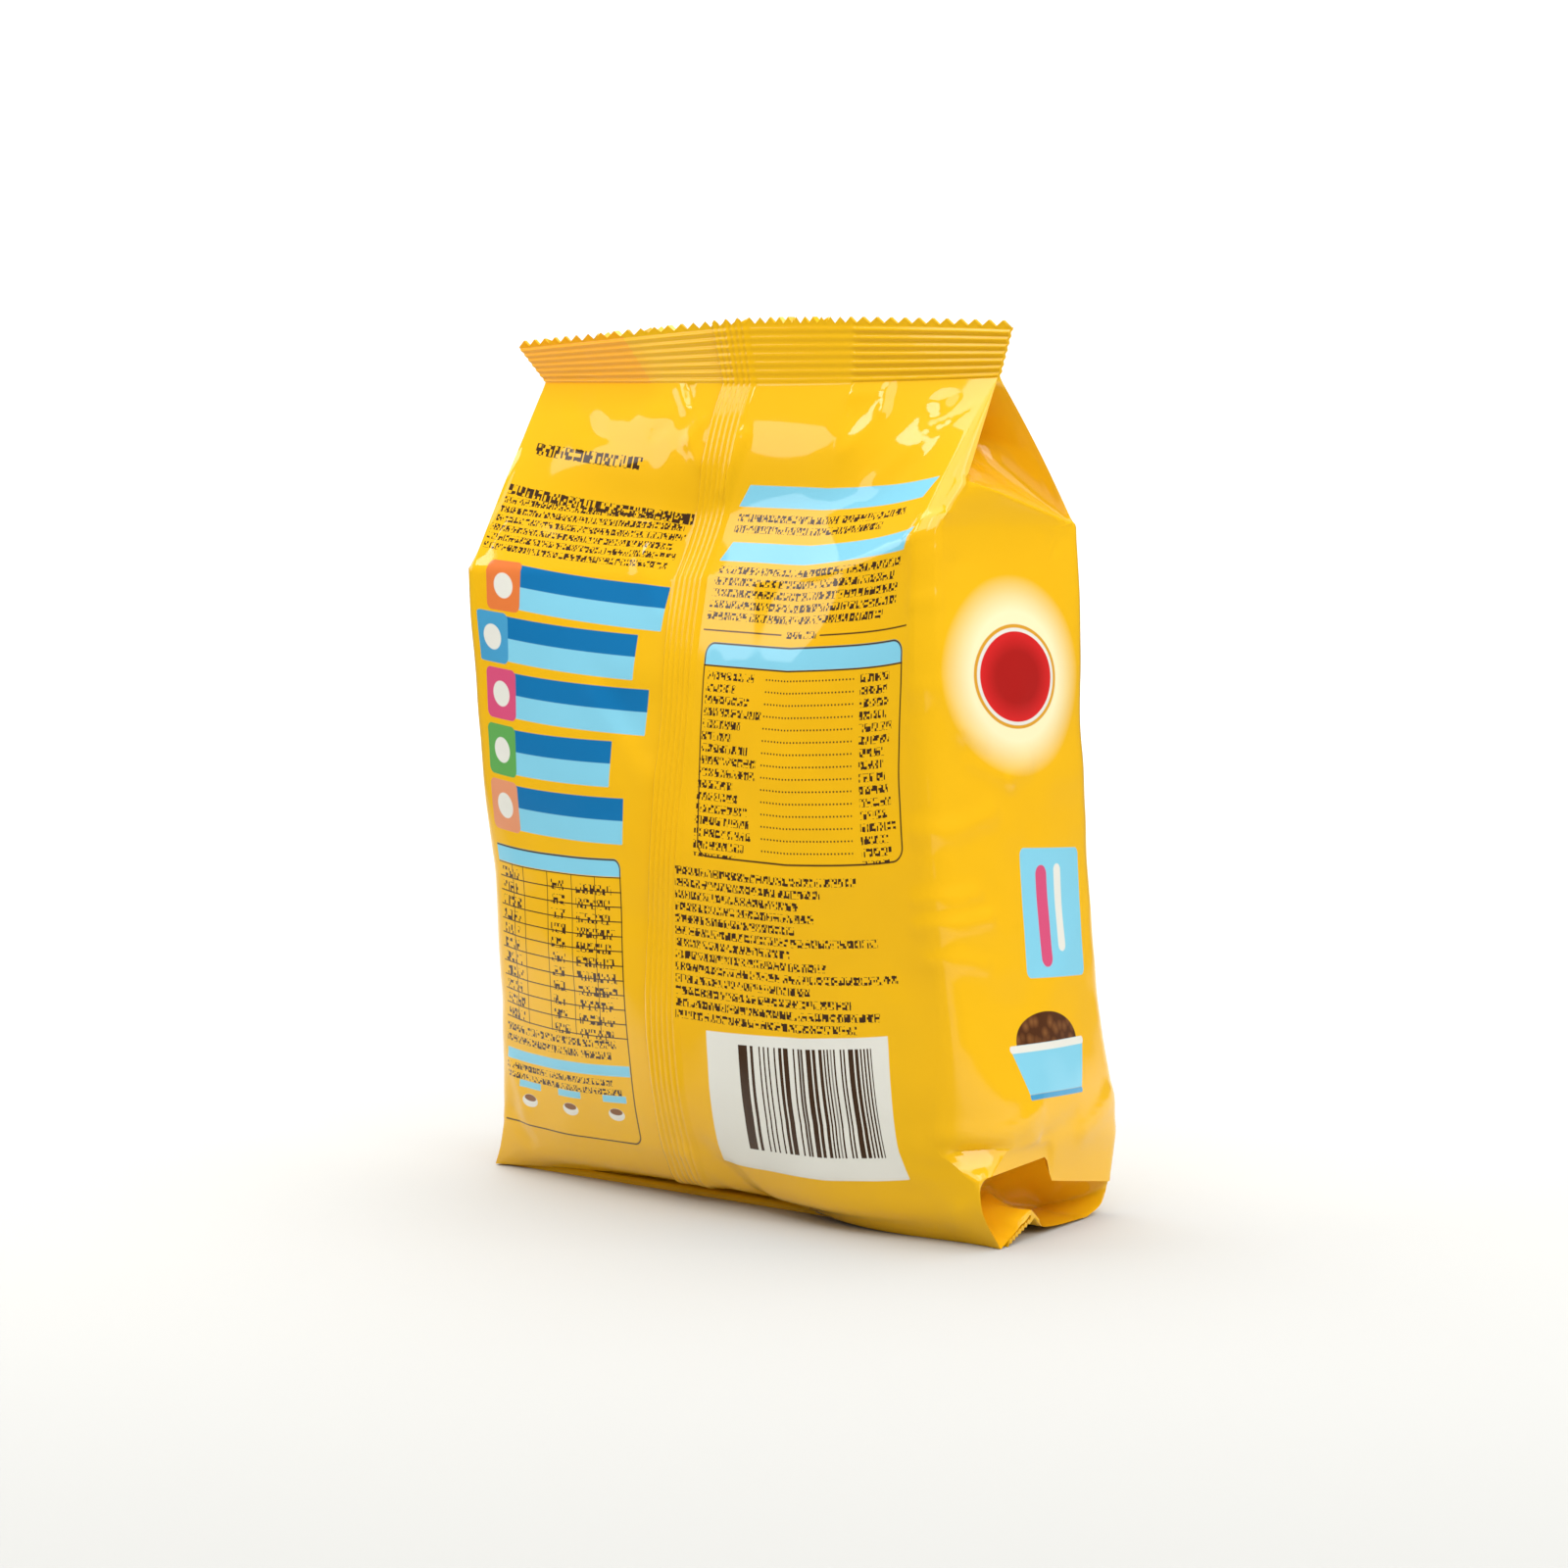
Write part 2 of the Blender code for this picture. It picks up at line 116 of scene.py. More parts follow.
# Ceiling of the tucks in the base above the floor at their mouths, and how far the base is
# pressed flat by its weight, in millimetres
BASE_TUCK_HEIGHT = 15.0
RIGHT_TUCK_HEIGHT = 17.5
SETTLE = 0.15
# The back's lower edge lies down on the floor round this share of its width, within this reach
LIES_DOWN_AT = 0.88
LIES_DOWN_REACH = 0.36
# Crimps across the folded bottom seal, and their height in millimetres
BASE_CRIMPS = 7
BASE_CRIMP_HEIGHT = 0.32

# Columns of the film's mesh: four to a tooth on the back, twelve in the fin seal, two in front
BACK_SPLIT = 4
FIN_SPLIT = 12
FRONT_SPLIT = 2
COLUMNS_PER_GUSSET = 48
COLUMNS_PER_CORNER = 6

# One station round the bag. A corner is (x, y, z) and a middle (y, z), in millimetres, with the
# back of the pouch facing -Y. A sharp station is a crease across the film, and swell is how far
# the right half of the back stands out beyond its bow.
Station = namedtuple(
    "Station",
    "name rows sharp radius swell back_left back_middle back_right"
    " front_right front_middle front_left",
)
STATIONS = (
    Station("seal top", 42, True, 0.2, 0.0,
            (-74.3, 1.8, 190.4), (-1.0, ARCH_TOP), (60.2, 2.3, 193.6),
            (60.2, 3.2, 193.6), (0.0, ARCH_TOP), (-74.3, 2.7, 190.4)),
    Station("seal root", 16, True, 0.25, 0.0,
            (-66.0, 1.4, 182.3), (-1.5, 182.0), (57.4, 1.8, 183.2),
            (57.4, 2.7, 183.2), (-0.5, 182.0), (-66.0, 2.3, 182.3)),
    Station("upper gable", 15, False, 1.2, 1.5,
            (-67.2, -7.0, 168.0), (-6.8, 166.5), (57.6, -6.8, 172.5),
            (60.3, 10.5, 172.0), (8.0, 167.0), (-67.0, 9.5, 170.0)),
    Station("lower gable", 14, False, 2.0, 2.0,
            (-68.6, -15.0, 154.0), (-11.5, 152.0), (57.0, -14.8, 162.5),
            (62.7, 17.5, 161.5), (13.5, 153.0), (-67.6, 17.0, 158.0)),
    Station("shoulder", 16, True, 2.5, 2.0,
            (-70.0, -23.0, 140.0), (-17.0, 139.5), (55.6, -23.2, 152.0),
            (64.4, 24.6, 151.0), (18.5, 141.0), (-69.3, 24.0, 146.0)),
    Station("upper body", 18, False, 4.0, 2.0,
            (-68.9, -23.4, 122.0), (-22.5, 121.0), (56.9, -25.4, 126.0),
            (65.8, 25.2, 126.0), (24.0, 122.0), (-68.6, 25.0, 124.0)),
    Station("middle body", 20, False, 4.5, 2.0,
            (-67.0, -23.4, 97.0), (-26.5, 97.0), (58.2, -25.2, 99.0),
            (66.6, 25.4, 98.0), (27.5, 97.0), (-68.3, 25.0, 98.0)),
    Station("belly", 20, False, 4.5, 1.5,
            (-64.2, -22.2, 70.0), (-29.3, 70.0), (61.2, -24.8, 72.0),
            (67.8, 26.6, 70.0), (30.5, 70.0), (-69.0, 25.0, 70.0)),
    Station("lower body", 13, False, 4.0, 1.0,
            (-62.8, -20.8, 42.0), (-30.2, 41.0), (65.4, -23.8, 43.0),
            (69.8, 28.2, 42.0), (31.5, 41.0), (-69.6, 25.0, 42.0)),
    Station("low body", 9, False, 3.5, 1.0,
            (-63.6, -19.2, 24.0), (-28.0, 24.0), (67.8, -22.6, 27.0),
            (71.9, 31.2, 19.0), (30.0, 24.0), (-70.4, 24.6, 26.0)),
    Station("tuck mouth", 8, True, 2.0, 3.5,
            (-65.0, -17.8, 13.0), (-23.5, 12.5), (69.0, -20.6, 16.0),
            (71.6, 29.0, 7.0), (27.6, 12.0), (-71.0, 23.4, 14.0)),
    Station("base round", 7, False, 1.5, 5.5,
            (-67.6, -16.0, 5.5), (-17.5, 5.0), (69.2, -19.4, 8.3),
            (71.3, 25.8, 2.4), (24.5, 4.0), (-71.0, 21.4, 5.0)),
    Station("base edge", 8, True, 0.8, 6.0,
            (-70.4, -14.2, 0.4), (-9.5, 2.2), (70.5, -15.0, 0.2),
            (70.7, 20.0, 0.5), (20.0, 0.0), (-70.7, 18.0, 0.5)),
    Station("flap", 6, False, 0.6, 2.0,
            (-70.4, -8.0, 2.2), (-6.0, 2.4), (70.5, -9.4, 2.8),
            (70.6, 2.0, 1.8), (8.0, 0.0), (-70.4, 4.0, 0.5)),
    Station("base seal root", 2, True, 0.3, 0.0,
            (-70.2, -2.6, 3.2), (-1.6, 2.2), (70.5, -3.4, 5.7),
            (70.5, -2.2, 4.6), (0.6, 0.0), (-70.2, -1.4, 2.2)),
    Station("base seal turn", 28, True, 0.2, 0.0,
            (-70.1, -2.8, 2.2), (-1.8, 1.0), (70.4, -3.8, 4.4),
            (70.4, -4.0, 3.5), (-1.8, 0.0), (-70.1, -2.9, 1.3)),
    Station("base seal end", 0, True, 0.2, 0.0,
            (-70.0, -12.0, 1.0), (-11.6, 0.95), (70.3, -12.0, 1.1),
            (70.3, -12.2, 0.2), (-11.6, 0.0), (-70.0, -12.2, 0.1)),
)
INDEX = {station.name: place for place, station in enumerate(STATIONS)}
TOP_ROOT = INDEX["seal root"]
SHOULDER = INDEX["shoulder"]
MOUTH = INDEX["tuck mouth"]
BASE_EDGE = INDEX["base edge"]
BASE_ROOT = INDEX["base seal root"]
BASE_TURN = INDEX["base seal turn"]
CREASE_ROOT = SHOULDER - RIGHT_TUCK_LAG * (SHOULDER - TOP_ROOT)

RAILS = ("back_left", "back_middle", "back_right", "front_right", "front_middle", "front_left")


# Small helpers of shape

def mix(a, b, t):
    return a + (b - a) * t


def clamp(t):
    return min(max(t, 0.0), 1.0)


def ease(t):
    t = clamp(t)
    return t * t * (3.0 - 2.0 * t)


# Film tube, the same as the solid's

def along(field, v):
    """Value of one rail at place v between stations, smooth except at sharp stations."""
    values = [Vector(getattr(station, field)) for station in STATIONS]
    i = min(int(v), len(values) - 2)
    f = v - i
    here = values[i]
    there = values[i + 1]
    step = (there - here).length
    leave = there - here
    arrive = there - here
    if i > 0 and not STATIONS[i].sharp:
        before = values[i - 1]
        leave = (there - before) * (step / max(step + (here - before).length, 1e-6))
    if i + 2 < len(values) and not STATIONS[i + 1].sharp:
        after = values[i + 2]
        arrive = (after - here) * (step / max(step + (after - there).length, 1e-6))
    square = f * f
    cube = square * f
    return (here * (2 * cube - 3 * square + 1) + leave * (cube - 2 * square + f)
            + there * (3 * square - 2 * cube) + arrive * (cube - square))


class Row:
    """Rails of one row of the film, read once and then used for every point across it."""

    def __init__(self, v):
        self.v = v
        for field in RAILS:
            setattr(self, field, along(field, v))
        i = min(int(v), len(STATIONS) - 2)
        self.swell = mix(STATIONS[i].swell, STATIONS[i + 1].swell, v - i)
        self.radius = mix(STATIONS[i].radius, STATIONS[i + 1].radius, v - i)
        self.seal = 1.0 - ease((v - TOP_ROOT) / 2.0)
        turn = ease((v - MOUTH) / (BASE_EDGE + 0.6 - MOUTH)) * math.pi / 2
        self.inward = {
            "back": Vector((0.0, math.cos(turn), math.sin(turn))),
            "front": Vector((0.0, -math.cos(turn), math.sin(turn))),
        }

    def edge(self, side, hand):
        return getattr(self, side + "_" + hand)

    def edge_strip(self):
        """How far the back's right corner is a flat strip: 1 by the shoulder and 0 low down."""
        grown = clamp((self.v - TOP_ROOT) / (CREASE_ROOT - TOP_ROOT))
        return grown * (1.0 - ease((self.v - SHOULDER - 0.8) / 1.2))

    def facet(self):
        """How far the back's right corner is cut, above its mouth, and how flat the cut is."""
        if not FACET_AT - 2.0 < self.v < MOUTH + 0.3:
            return 0.0, 0.0
        if self.v < FACET_AT:
            grown = ease((self.v - FACET_AT + 2.0) / 2.0)
            sharpened = ease((self.v - FACET_AT + 0.16) / 0.16)
            return grown, grown * mix(FACET_FLATNESS[0], FACET_FLATNESS[1], sharpened)
        left = clamp((MOUTH + 0.05 - self.v) / (MOUTH + 0.05 - FACET_AT))
        return left, FACET_FLATNESS[1] * ease(left / 0.2)

    def panel(self, side, s):
        """Point on the back or front panel, with s from 0 at its left end to 1 at its right."""
        left = self.edge(side, "left")
        right = self.edge(side, "right")
        middle = getattr(self, side + "_middle")
        from_middle = 2.0 * s - 1.0
        end = right if from_middle > 0.0 else left
        weight = abs(from_middle) ** 2.3
        bowed_y = mix(middle.x, end.y, weight)
        lies_down = 0.0
        if side == "back":
            bowed_y -= self.swell * ease(1.0 - abs(s - SWELL_AT) / SWELL_REACH)
            lies_down = ease(1.0 - abs(s - LIES_DOWN_AT) / LIES_DOWN_REACH)
            lies_down *= ease(1.0 - abs(self.v - BASE_EDGE) / 1.3)
        if from_middle < 0.0:
            weight = mix(weight, abs(from_middle), self.seal)
        if s < SEAL_KINK_AT:
            kink = s / SEAL_KINK_AT
        else:
            kink = (1.0 - s) / (1.0 - SEAL_KINK_AT)
        straight_y = mix(left.y, right.y, s) - SEAL_KINK_DEPTH * kink
        level = mix(middle.y, end.z, weight)
        return Vector((mix(left.x, right.x, s), mix(bowed_y, straight_y, self.seal),
                       mix(level, min(level, right.z), lies_down)))

    def from_edge(self, side, hand, distance, depth):
        """Point on the inner side of a panel, distance in from its left or right edge."""
        share = distance / PANEL_WIDTH
        s = 1.0 - share if hand == "right" else share
        return self.panel(side, s) + self.inward[side] * depth

    def tuck_shares(self, hand):
        """How much of the gusset lies folded on the back panel and on the front panel."""
        if self.v < SHOULDER:
            run = (SHOULDER - self.v) / (SHOULDER - TOP_ROOT)
            lag = RIGHT_TUCK_LAG if hand == "right" else 0.0
            back_run = clamp((run - lag) / (1.0 - lag))
            start, end = TOP_TUCK_CLOSES
        else:
            run = (self.v - MOUTH) / (BASE_ROOT - MOUTH)
            back_run = clamp(run)
            start, end = BASE_TUCK_CLOSES
        run = clamp(run)
        closing = 1.0 - ease((run - start) / (end - start))
        return 0.5 * back_run * closing, 0.5 * run * closing, run

    def mouth_lift(self, hand, s):
        """Rise of the right side's mouth above its two corners."""
        if hand == "left" or self.v > MOUTH:
            return 0.0
        start, end = MOUTH_STEP
        ramp = s / start if s < start else clamp((end - s) / (end - start))
        return MOUTH_LIFT * ramp * ease(self.v - MOUTH + 1.0)

    def gusset(self, hand, s):
        """Point on a side panel, with the right tuck's inner fold rounded by the gable."""
        if hand == "left" or not TOP_ROOT < self.v < SHOULDER:
            point = self.folded(hand, s)
            point.z += self.mouth_lift(hand, s)
            return point
        point = self.rounded_fold(hand, s)
        from_strip = (s * GUSSET_WIDTH - EDGE_STRIP * self.edge_strip()) / STRIP_TURN_IN
        if self.v > CREASE_ROOT + 0.2 or from_strip > 1.0:
            return point
        across = self.front_right - self.back_right
        width = min(EDGE_STRIP * self.edge_strip(), 0.8 * across.length)
        turn = self.back_right + across.normalized() * width
        keep = 1.0 - ease((self.v - CREASE_ROOT) / 0.2)
        return point.lerp(turn, (1.0 - ease(from_strip)) * keep)

    def rounded_fold(self, hand, s):
        """Point on the right side panel by the gable, where its inner fold is rounded."""
        back_share, front_share, run = self.tuck_shares(hand)
        fold = 1.0 - front_share
        crease = max(back_share, (1.0 - run / RIGHT_TUCK_LAG) * fold)
        reach = 0.95 * min(front_share, fold - crease) * (1.0 - ease((run - 0.5) / 0.3))
        if abs(s - fold) >= reach:
            return self.folded(hand, s)
        t = (s - fold + reach) / (2.0 * reach)
        return (self.folded(hand, fold - reach) * (1 - t) ** 2
                + self.folded(hand, fold) * 2 * t * (1 - t)
                + self.folded(hand, fold + reach) * t * t)

    def folded(self, hand, s):
        """Point on a side panel, with s from 0 at the back edge to 1 at the front edge."""
        v = self.v
        back_edge = self.edge("back", hand)
        front_edge = self.edge("front", hand)
        outward = Vector((1.0 if hand == "right" else -1.0, 0.0, 0.0))
        if not (TOP_ROOT < v < SHOULDER or MOUTH < v < BASE_ROOT):
            belly = SIDE_BELLY * ease((v - SHOULDER) / 1.5) * ease((MOUTH - v) / 1.5)
            return back_edge.lerp(front_edge, s) + outward * belly * (1.0 - (2.0 * s - 1.0) ** 2)
        back_share, front_share, run = self.tuck_shares(hand)
        ply = min(TUCK_PLY, 0.25 * (front_edge - back_edge).length)
        if s < back_share:
            return self.from_edge("back", hand, s * GUSSET_WIDTH, ply * s / back_share)
        if s > 1.0 - front_share:
            reach = 1.0 - s
            return self.from_edge("front", hand, reach * GUSSET_WIDTH, ply * reach / front_share)
        a = self.from_edge("back", hand, back_share * GUSSET_WIDTH, ply if back_share else 0.0)
        b = self.from_edge("front", hand, front_share * GUSSET_WIDTH, ply)
        t = (s - back_share) / (1.0 - back_share - front_share)
        point = a.lerp(b, t)
        if v > MOUTH:
            height = RIGHT_TUCK_HEIGHT if hand == "right" else BASE_TUCK_HEIGHT
            rise = height * (1.0 - run) + 2.0 - point.z
            arch = 1.0 - abs(2.0 * t - 1.0) ** 3
            point.z += max(rise, 0.0) * arch
            if hand == "right":
                point.x -= MOUTH_SET_IN * arch * ease((v - MOUTH) / 0.12) * (1.0 - ease(run))
            if v > BASE_EDGE:
                ridge = Vector(getattr(STATIONS[BASE_ROOT], "back_" + hand))
                foot = a if point.y < ridge.y else b
                up = clamp((point.y - foot.y) / (ridge.y - foot.y))
                point.z = max(point.z, mix(foot.z, ridge.z + ply, up))
            return point
        lag = RIGHT_TUCK_LAG if hand == "right" else 0.0
        if run < lag:
            crossing = 1.0 - run / lag
            top = along("back_" + hand, SHOULDER - lag * (SHOULDER - TOP_ROOT))
            low = along("front_" + hand, SHOULDER)
            rise = run / lag
            crease = low.lerp(top, rise)
            crease += outward * CREASE_BOW * 6.75 * rise * rise * (1.0 - rise)
            if t < crossing:
                return a.lerp(crease, t / crossing)
            return crease.lerp(b, (t - crossing) / (1.0 - crossing))
        return point

    def gusset_columns(self, hand):
        """Places across a gusset, gathered so that a column follows each diagonal fold."""
        v = self.v
        back_share, front_share, run = self.tuck_shares(hand)
        at_back = 0.375
        at_front = 0.625
        if TOP_ROOT < v < BASE_ROOT and run > 0.0:
            at_back = max(back_share, 0.08)
            at_front = 1.0 - max(front_share, 0.08)
        if hand == "right" and TOP_ROOT < v < SHOULDER + 1.0:
            crossing = (1.0 - run / RIGHT_TUCK_LAG) * (1.0 - front_share)
            at_back = max(at_back, crossing * 0.9)
            if v > SHOULDER:
                at_back = mix(0.9, 0.375, v - SHOULDER)
                at_front = mix(0.96, 0.625, v - SHOULDER)
        if at_front - at_back < 0.06:
            centre = min((at_front + at_back) / 2, 0.93)
            at_back = centre - 0.03
            at_front = centre + 0.03
        places = []
        for column in range(COLUMNS_PER_GUSSET + 1):
            t = column / COLUMNS_PER_GUSSET
            if t < 0.375:
                places.append(at_back * t / 0.375)
            elif t <= 0.625:
                places.append(mix(at_back, at_front, (t - 0.375) / 0.25))
            else:
                places.append(mix(at_front, 1.0, (t - 0.625) / 0.375))
        return places


def drawn_over(place, v):
    """Place across the back after the fin and the film round it are drawn right, high up."""
    from_fin = abs(place * PANEL_WIDTH - FIN_CENTRE) / FIN_SHIFT_REACH
    shift = FIN_SHIFT * (1.0 - ease((v - 5.3) / 2.9)) * (1.0 - ease((from_fin - 0.12) / 0.88))
    return place + shift / PANEL_WIDTH


def fin_height(distance, crimp):
    """Rise of the fin seal above the panel, by distance in from the panel's left edge."""
    place = (distance - FIN_CENTRE) / FIN_WIDTH + 0.5
    if place <= 0.0 or place >= 1.0:
        return 0.0
    wave = 0.5 - 0.5 * math.cos(2.0 * math.pi * place * FIN_RIBS)
    return FIN_STEP * (1.0 - place) ** 0.7 + crimp * wave


def back_columns():
    """Places across the back panel, finer in the fin seal."""
    pitch = PANEL_WIDTH / TOOTH_COUNT
    first = round((FIN_CENTRE - FIN_WIDTH / 2) / pitch)
    last = first + round(FIN_WIDTH / pitch)
    places = []
    for tooth in range(TOOTH_COUNT):
        split = FIN_SPLIT if first <= tooth < last else BACK_SPLIT
        for part in range(split):
            places.append((tooth + part / split) / TOOTH_COUNT)
    places.append(1.0)
    return places


def front_columns():
    count = TOOTH_COUNT * FRONT_SPLIT
    return [1.0 - column / count for column in range(count + 1)]


def corner(before, point, after, flatness=0.0):
    """Points round a corner of the ring, without its two ends, from an arc to a flat strip."""
    arc = []
    for step in range(1, COLUMNS_PER_CORNER):
        t = step / COLUMNS_PER_CORNER
        bend = before * (1 - t) ** 2 + point * 2 * t * (1 - t) + after * t * t
        arc.append(bend.lerp(before.lerp(after, t), flatness))
    return arc


def ring(row, crimp):
    """Points of one row: back panel, right gusset, front panel and left gusset."""
    trim = row.radius / PANEL_WIDTH
    side_trim = min(row.radius / GUSSET_WIDTH, 0.3)
    strip = row.edge_strip()
    cut, cut_flatness = row.facet()
    cut_back = mix(mix(row.radius, EDGE_STRIP, strip), FACET_REACH[0], cut) / PANEL_WIDTH - trim
    cut_side = mix(mix(side_trim, EDGE_STRIP / GUSSET_WIDTH, strip),
                   FACET_REACH[1] / GUSSET_WIDTH, cut) - side_trim
    fade = 1.0 - ease((row.v - BASE_EDGE + 1.0) / 1.0)
    back = []
    for place in back_columns():
        s = mix(trim, 1.0 - trim, drawn_over(place, row.v)) - cut_back * ease(place / 0.15 - 5.667)
        point = row.panel("back", s)
        back.append(point - row.inward["back"] * fin_height(place * PANEL_WIDTH, crimp) * fade)
    front = [row.panel("front", mix(trim, 1.0 - trim, place)) for place in front_columns()]
    right = [row.gusset("right", mix(side_trim, 1.0 - side_trim, place)
                        + cut_side * (1.0 - ease(place / 0.45)))
             for place in row.gusset_columns("right")]
    left = [row.gusset("left", mix(side_trim, 1.0 - side_trim, place))
            for place in row.gusset_columns("left")]
    left.reverse()
    points = list(back)
    points += corner(back[-1], row.back_right, right[0], max(0.75 * strip, cut_flatness))
    points += right
    points += corner(right[-1], row.front_right, front[0])
    points += front
    points += corner(front[-1], row.front_left, left[0])
    points += left
    points += corner(left[-1], row.back_left, back[0])
    crimped = 0.0
    if row.v > BASE_TURN:
        crimped = 0.5 - 0.5 * math.cos(2.0 * math.pi * BASE_CRIMPS * (row.v - BASE_TURN))
    for point in points:
        point.z = max(point.z - SETTLE, 0.0) + 2.0 * BASE_CRIMP_HEIGHT * crimped
    return points


def film_rows():
    """Every v at which the film has a row, from the top edge to the end of the base seal."""
    places = []
    for i, station in enumerate(STATIONS[:-1]):
        for step in range(station.rows):
            places.append(i + step / station.rows)
    places.append(len(STATIONS) - 1.0)
    return places


def places_round(row):
    """U of every point of a row, in millimetres round the film from the back's left edge."""
    corner_points = [1.0] * (COLUMNS_PER_CORNER - 1)
    places = [drawn_over(place, row.v) * PANEL_WIDTH for place in back_columns()]
    places += [PANEL_WIDTH] * len(corner_points)
    places += [PANEL_WIDTH + place * GUSSET_WIDTH for place in row.gusset_columns("right")]
    start = PANEL_WIDTH + GUSSET_WIDTH
    places += [start] * len(corner_points)
    places += [start + (1.0 - place) * PANEL_WIDTH for place in front_columns()]
    start += PANEL_WIDTH
    places += [start] * len(corner_points)
    left = [place for place in row.gusset_columns("left")]
    left.reverse()
    places += [start + (1.0 - place) * GUSSET_WIDTH for place in left]
    places += [FILM_ROUND] * len(corner_points)
    return places


def lengths_down(rings, column_count):
    """V of every point: the length of film above it, blended across the gussets."""
    lengths = [[0.0] * column_count]
    for before, after in zip(rings, rings[1:]):
        above = lengths[-1]
        lengths.append([above[c] + (after[c] - before[c]).length for c in range(column_count)])
    back = len(back_columns())
    side = COLUMNS_PER_GUSSET + 1 + 2 * (COLUMNS_PER_CORNER - 1)
    front = len(front_columns())
    for row in lengths:
        spans = ((back - 1, back + side), (back + side + front - 1, column_count))
        for start, end in spans:
            for c in range(start + 1, end):
                t = (c - start) / (end - start)
                row[c] = mix(row[start], row[end % column_count], t)
    return lengths


# Relief of the film: seal ribs, crimps, creases and the bumps of the filling

def seal_rib(s, t):
    """Push of the top seal's crimp along Y, s across it and t down it, in millimetres."""
    depth = 0.16
    if s < 0.27:
        depth = 0.2
    elif s > SEAL_KINK_AT:
        depth = 0.26
    elif s > 0.47:
        depth = 0.08
    return depth * math.sin(2.0 * math.pi * RIB_COUNT * t)


# A crease lies on a line between two places on the film, in millimetres. It stands out by its
# height on the line, or in where that is below 0, and the film slopes off flat within its reach.
Crease = namedtuple("Crease", "start end reach height")

# A dent is a soft oval hollow: its middle, its half width and half height and its depth
Dent = namedtuple("Dent", "middle across down depth")

CREASES = (
    # Gable left of the fin: a forked pucker under the seal and the folds below it
    Crease((46.6, 13.0), (51.9, 18.8), 1.8, 0.45),
    Crease((49.6, 12.6), (52.0, 16.6), 1.6, -0.4),
    Crease((14.4, 18.0), (22.0, 24.0), 5.0, -0.22),
    Crease((22.0, 24.0), (44.0, 29.6), 6.0, -0.25),
    Crease((38.2, 19.5), (49.4, 21.2), 3.5, 0.2),
    Crease((43.5, 25.0), (49.4, 21.2), 3.0, -0.2),
    Crease((57.4, 22.5), (55.5, 26.5), 3.0, 0.3),
    Crease((55.5, 26.5), (60.0, 32.0), 3.0, 0.3),
    # Gable right of the fin: the rim of the big dent, a glint with two fine folds and a long fold
    Crease((103.3, 15.7), (112.6, 14.6), 2.0, 0.14),
    Crease((112.6, 14.6), (113.1, 19.5), 2.0, 0.2),
    Crease((113.1, 19.5), (105.9, 28.5), 3.0, 0.2),
    Crease((125.2, 19.2), (133.0, 17.6), 1.4, -0.1),
    Crease((137.6, 18.6), (133.6, 21.5), 1.5, 0.12),
    Crease((133.6, 21.5), (128.0, 23.6), 1.5, 0.12),
    Crease((126.3, 27.0), (116.5, 35.0), 5.0, 0.25),
    Crease((72.5, 26.0), (69.5, 38.0), 3.0, 0.5),
    # Right edge strip: the small flap at its foot and the crease on down the side
    Crease((139.6, 48.0), (137.4, 53.5), 2.0, 0.4),
    Crease((140.0, 56.0), (140.0, 66.0), 2.5, 0.3),
    Crease((140.0, 66.0), (140.0, 82.0), 2.5, 0.25),
    Crease((140.4, 84.0), (145.2, 93.3), 2.5, 0.4),
    Crease((145.2, 93.3), (152.0, 96.0), 2.5, 0.35),
    # Side panel: a pinch under the gable's crease, and slack folds lower down
    Crease((190.0, 50.9), (183.3, 54.2), 2.6, -0.7),
    Crease((147.4, 99.3), (159.9, 103.4), 3.0, 0.4),
    Crease((159.9, 103.4), (167.6, 100.4), 3.0, 0.4),
    Crease((140.5, 113.8), (152.7, 110.5), 3.4, 0.45),
    Crease((138.5, 128.0), (146.1, 127.0), 2.6, 0.4),
    Crease((138.0, 133.6), (149.3, 132.4), 2.6, 0.45),
    Crease((139.0, 141.0), (146.0, 142.4), 2.6, 0.35),
    # Creases that run from the facet over the mouth, and by the mouth
    Crease((140.0, 178.0), (158.0, 174.5), 3.0, 0.4),
    Crease((134.5, 196.0), (131.5, 201.5), 4.0, 0.6),
    Crease((134.0, 192.0), (122.0, 190.0), 6.0, -0.4),
    Crease((160.1, 181.0), (172.6, 177.5), 3.0, -0.5),
    Crease((176.0, 181.0), (189.0, 175.0), 4.0, 0.6),
    # Foot of the fin, and the left edge near the base
    Crease((66.5, 186.0), (80.0, 200.0), 5.0, -0.9),
    Crease((61.0, 188.0), (64.0, 203.0), 4.0, 0.5),
    Crease((1.5, 174.0), (7.0, 184.0), 3.0, 0.5),
    Crease((2.0, 186.0), (9.0, 193.0), 3.0, -0.5),
    # Slack of the left half of the back beside the fin
    Crease((48.7, 53.2), (57.6, 66.0), 4.0, 0.3),
    Crease((38.5, 86.0), (57.0, 102.0), 6.0, 0.4),
    Crease((40.7, 81.5), (57.0, 98.0), 5.0, -0.3),
)
DENTS = (
    Dent((106.0, 20.5), 8.0, 7.0, 0.35),
    Dent((129.0, 17.5), 5.5, 4.0, -0.3),
    Dent((60.0, 52.0), 12.0, 20.0, 1.0),
    Dent((50.0, 90.0), 14.0, 13.0, 0.8),
    Dent((147.0, 58.6), 4.0, 2.6, 0.4),
    Dent((30.0, 130.0), 20.0, 16.0, 0.6),
    Dent((100.0, 60.0), 16.0, 18.0, 0.7),
    Dent((206.0, 60.0), 18.0, 14.0, 0.9),
    Dent((300.0, 64.0), 16.0, 16.0, 0.9),
    Dent((252.0, 150.0), 26.0, 14.0, 0.6),
    Dent((354.0, 96.0), 10.0, 20.0, 0.9),
)
# How far down the film the gable's tucks reach, in millimetres
TUCKS_END = 56.0
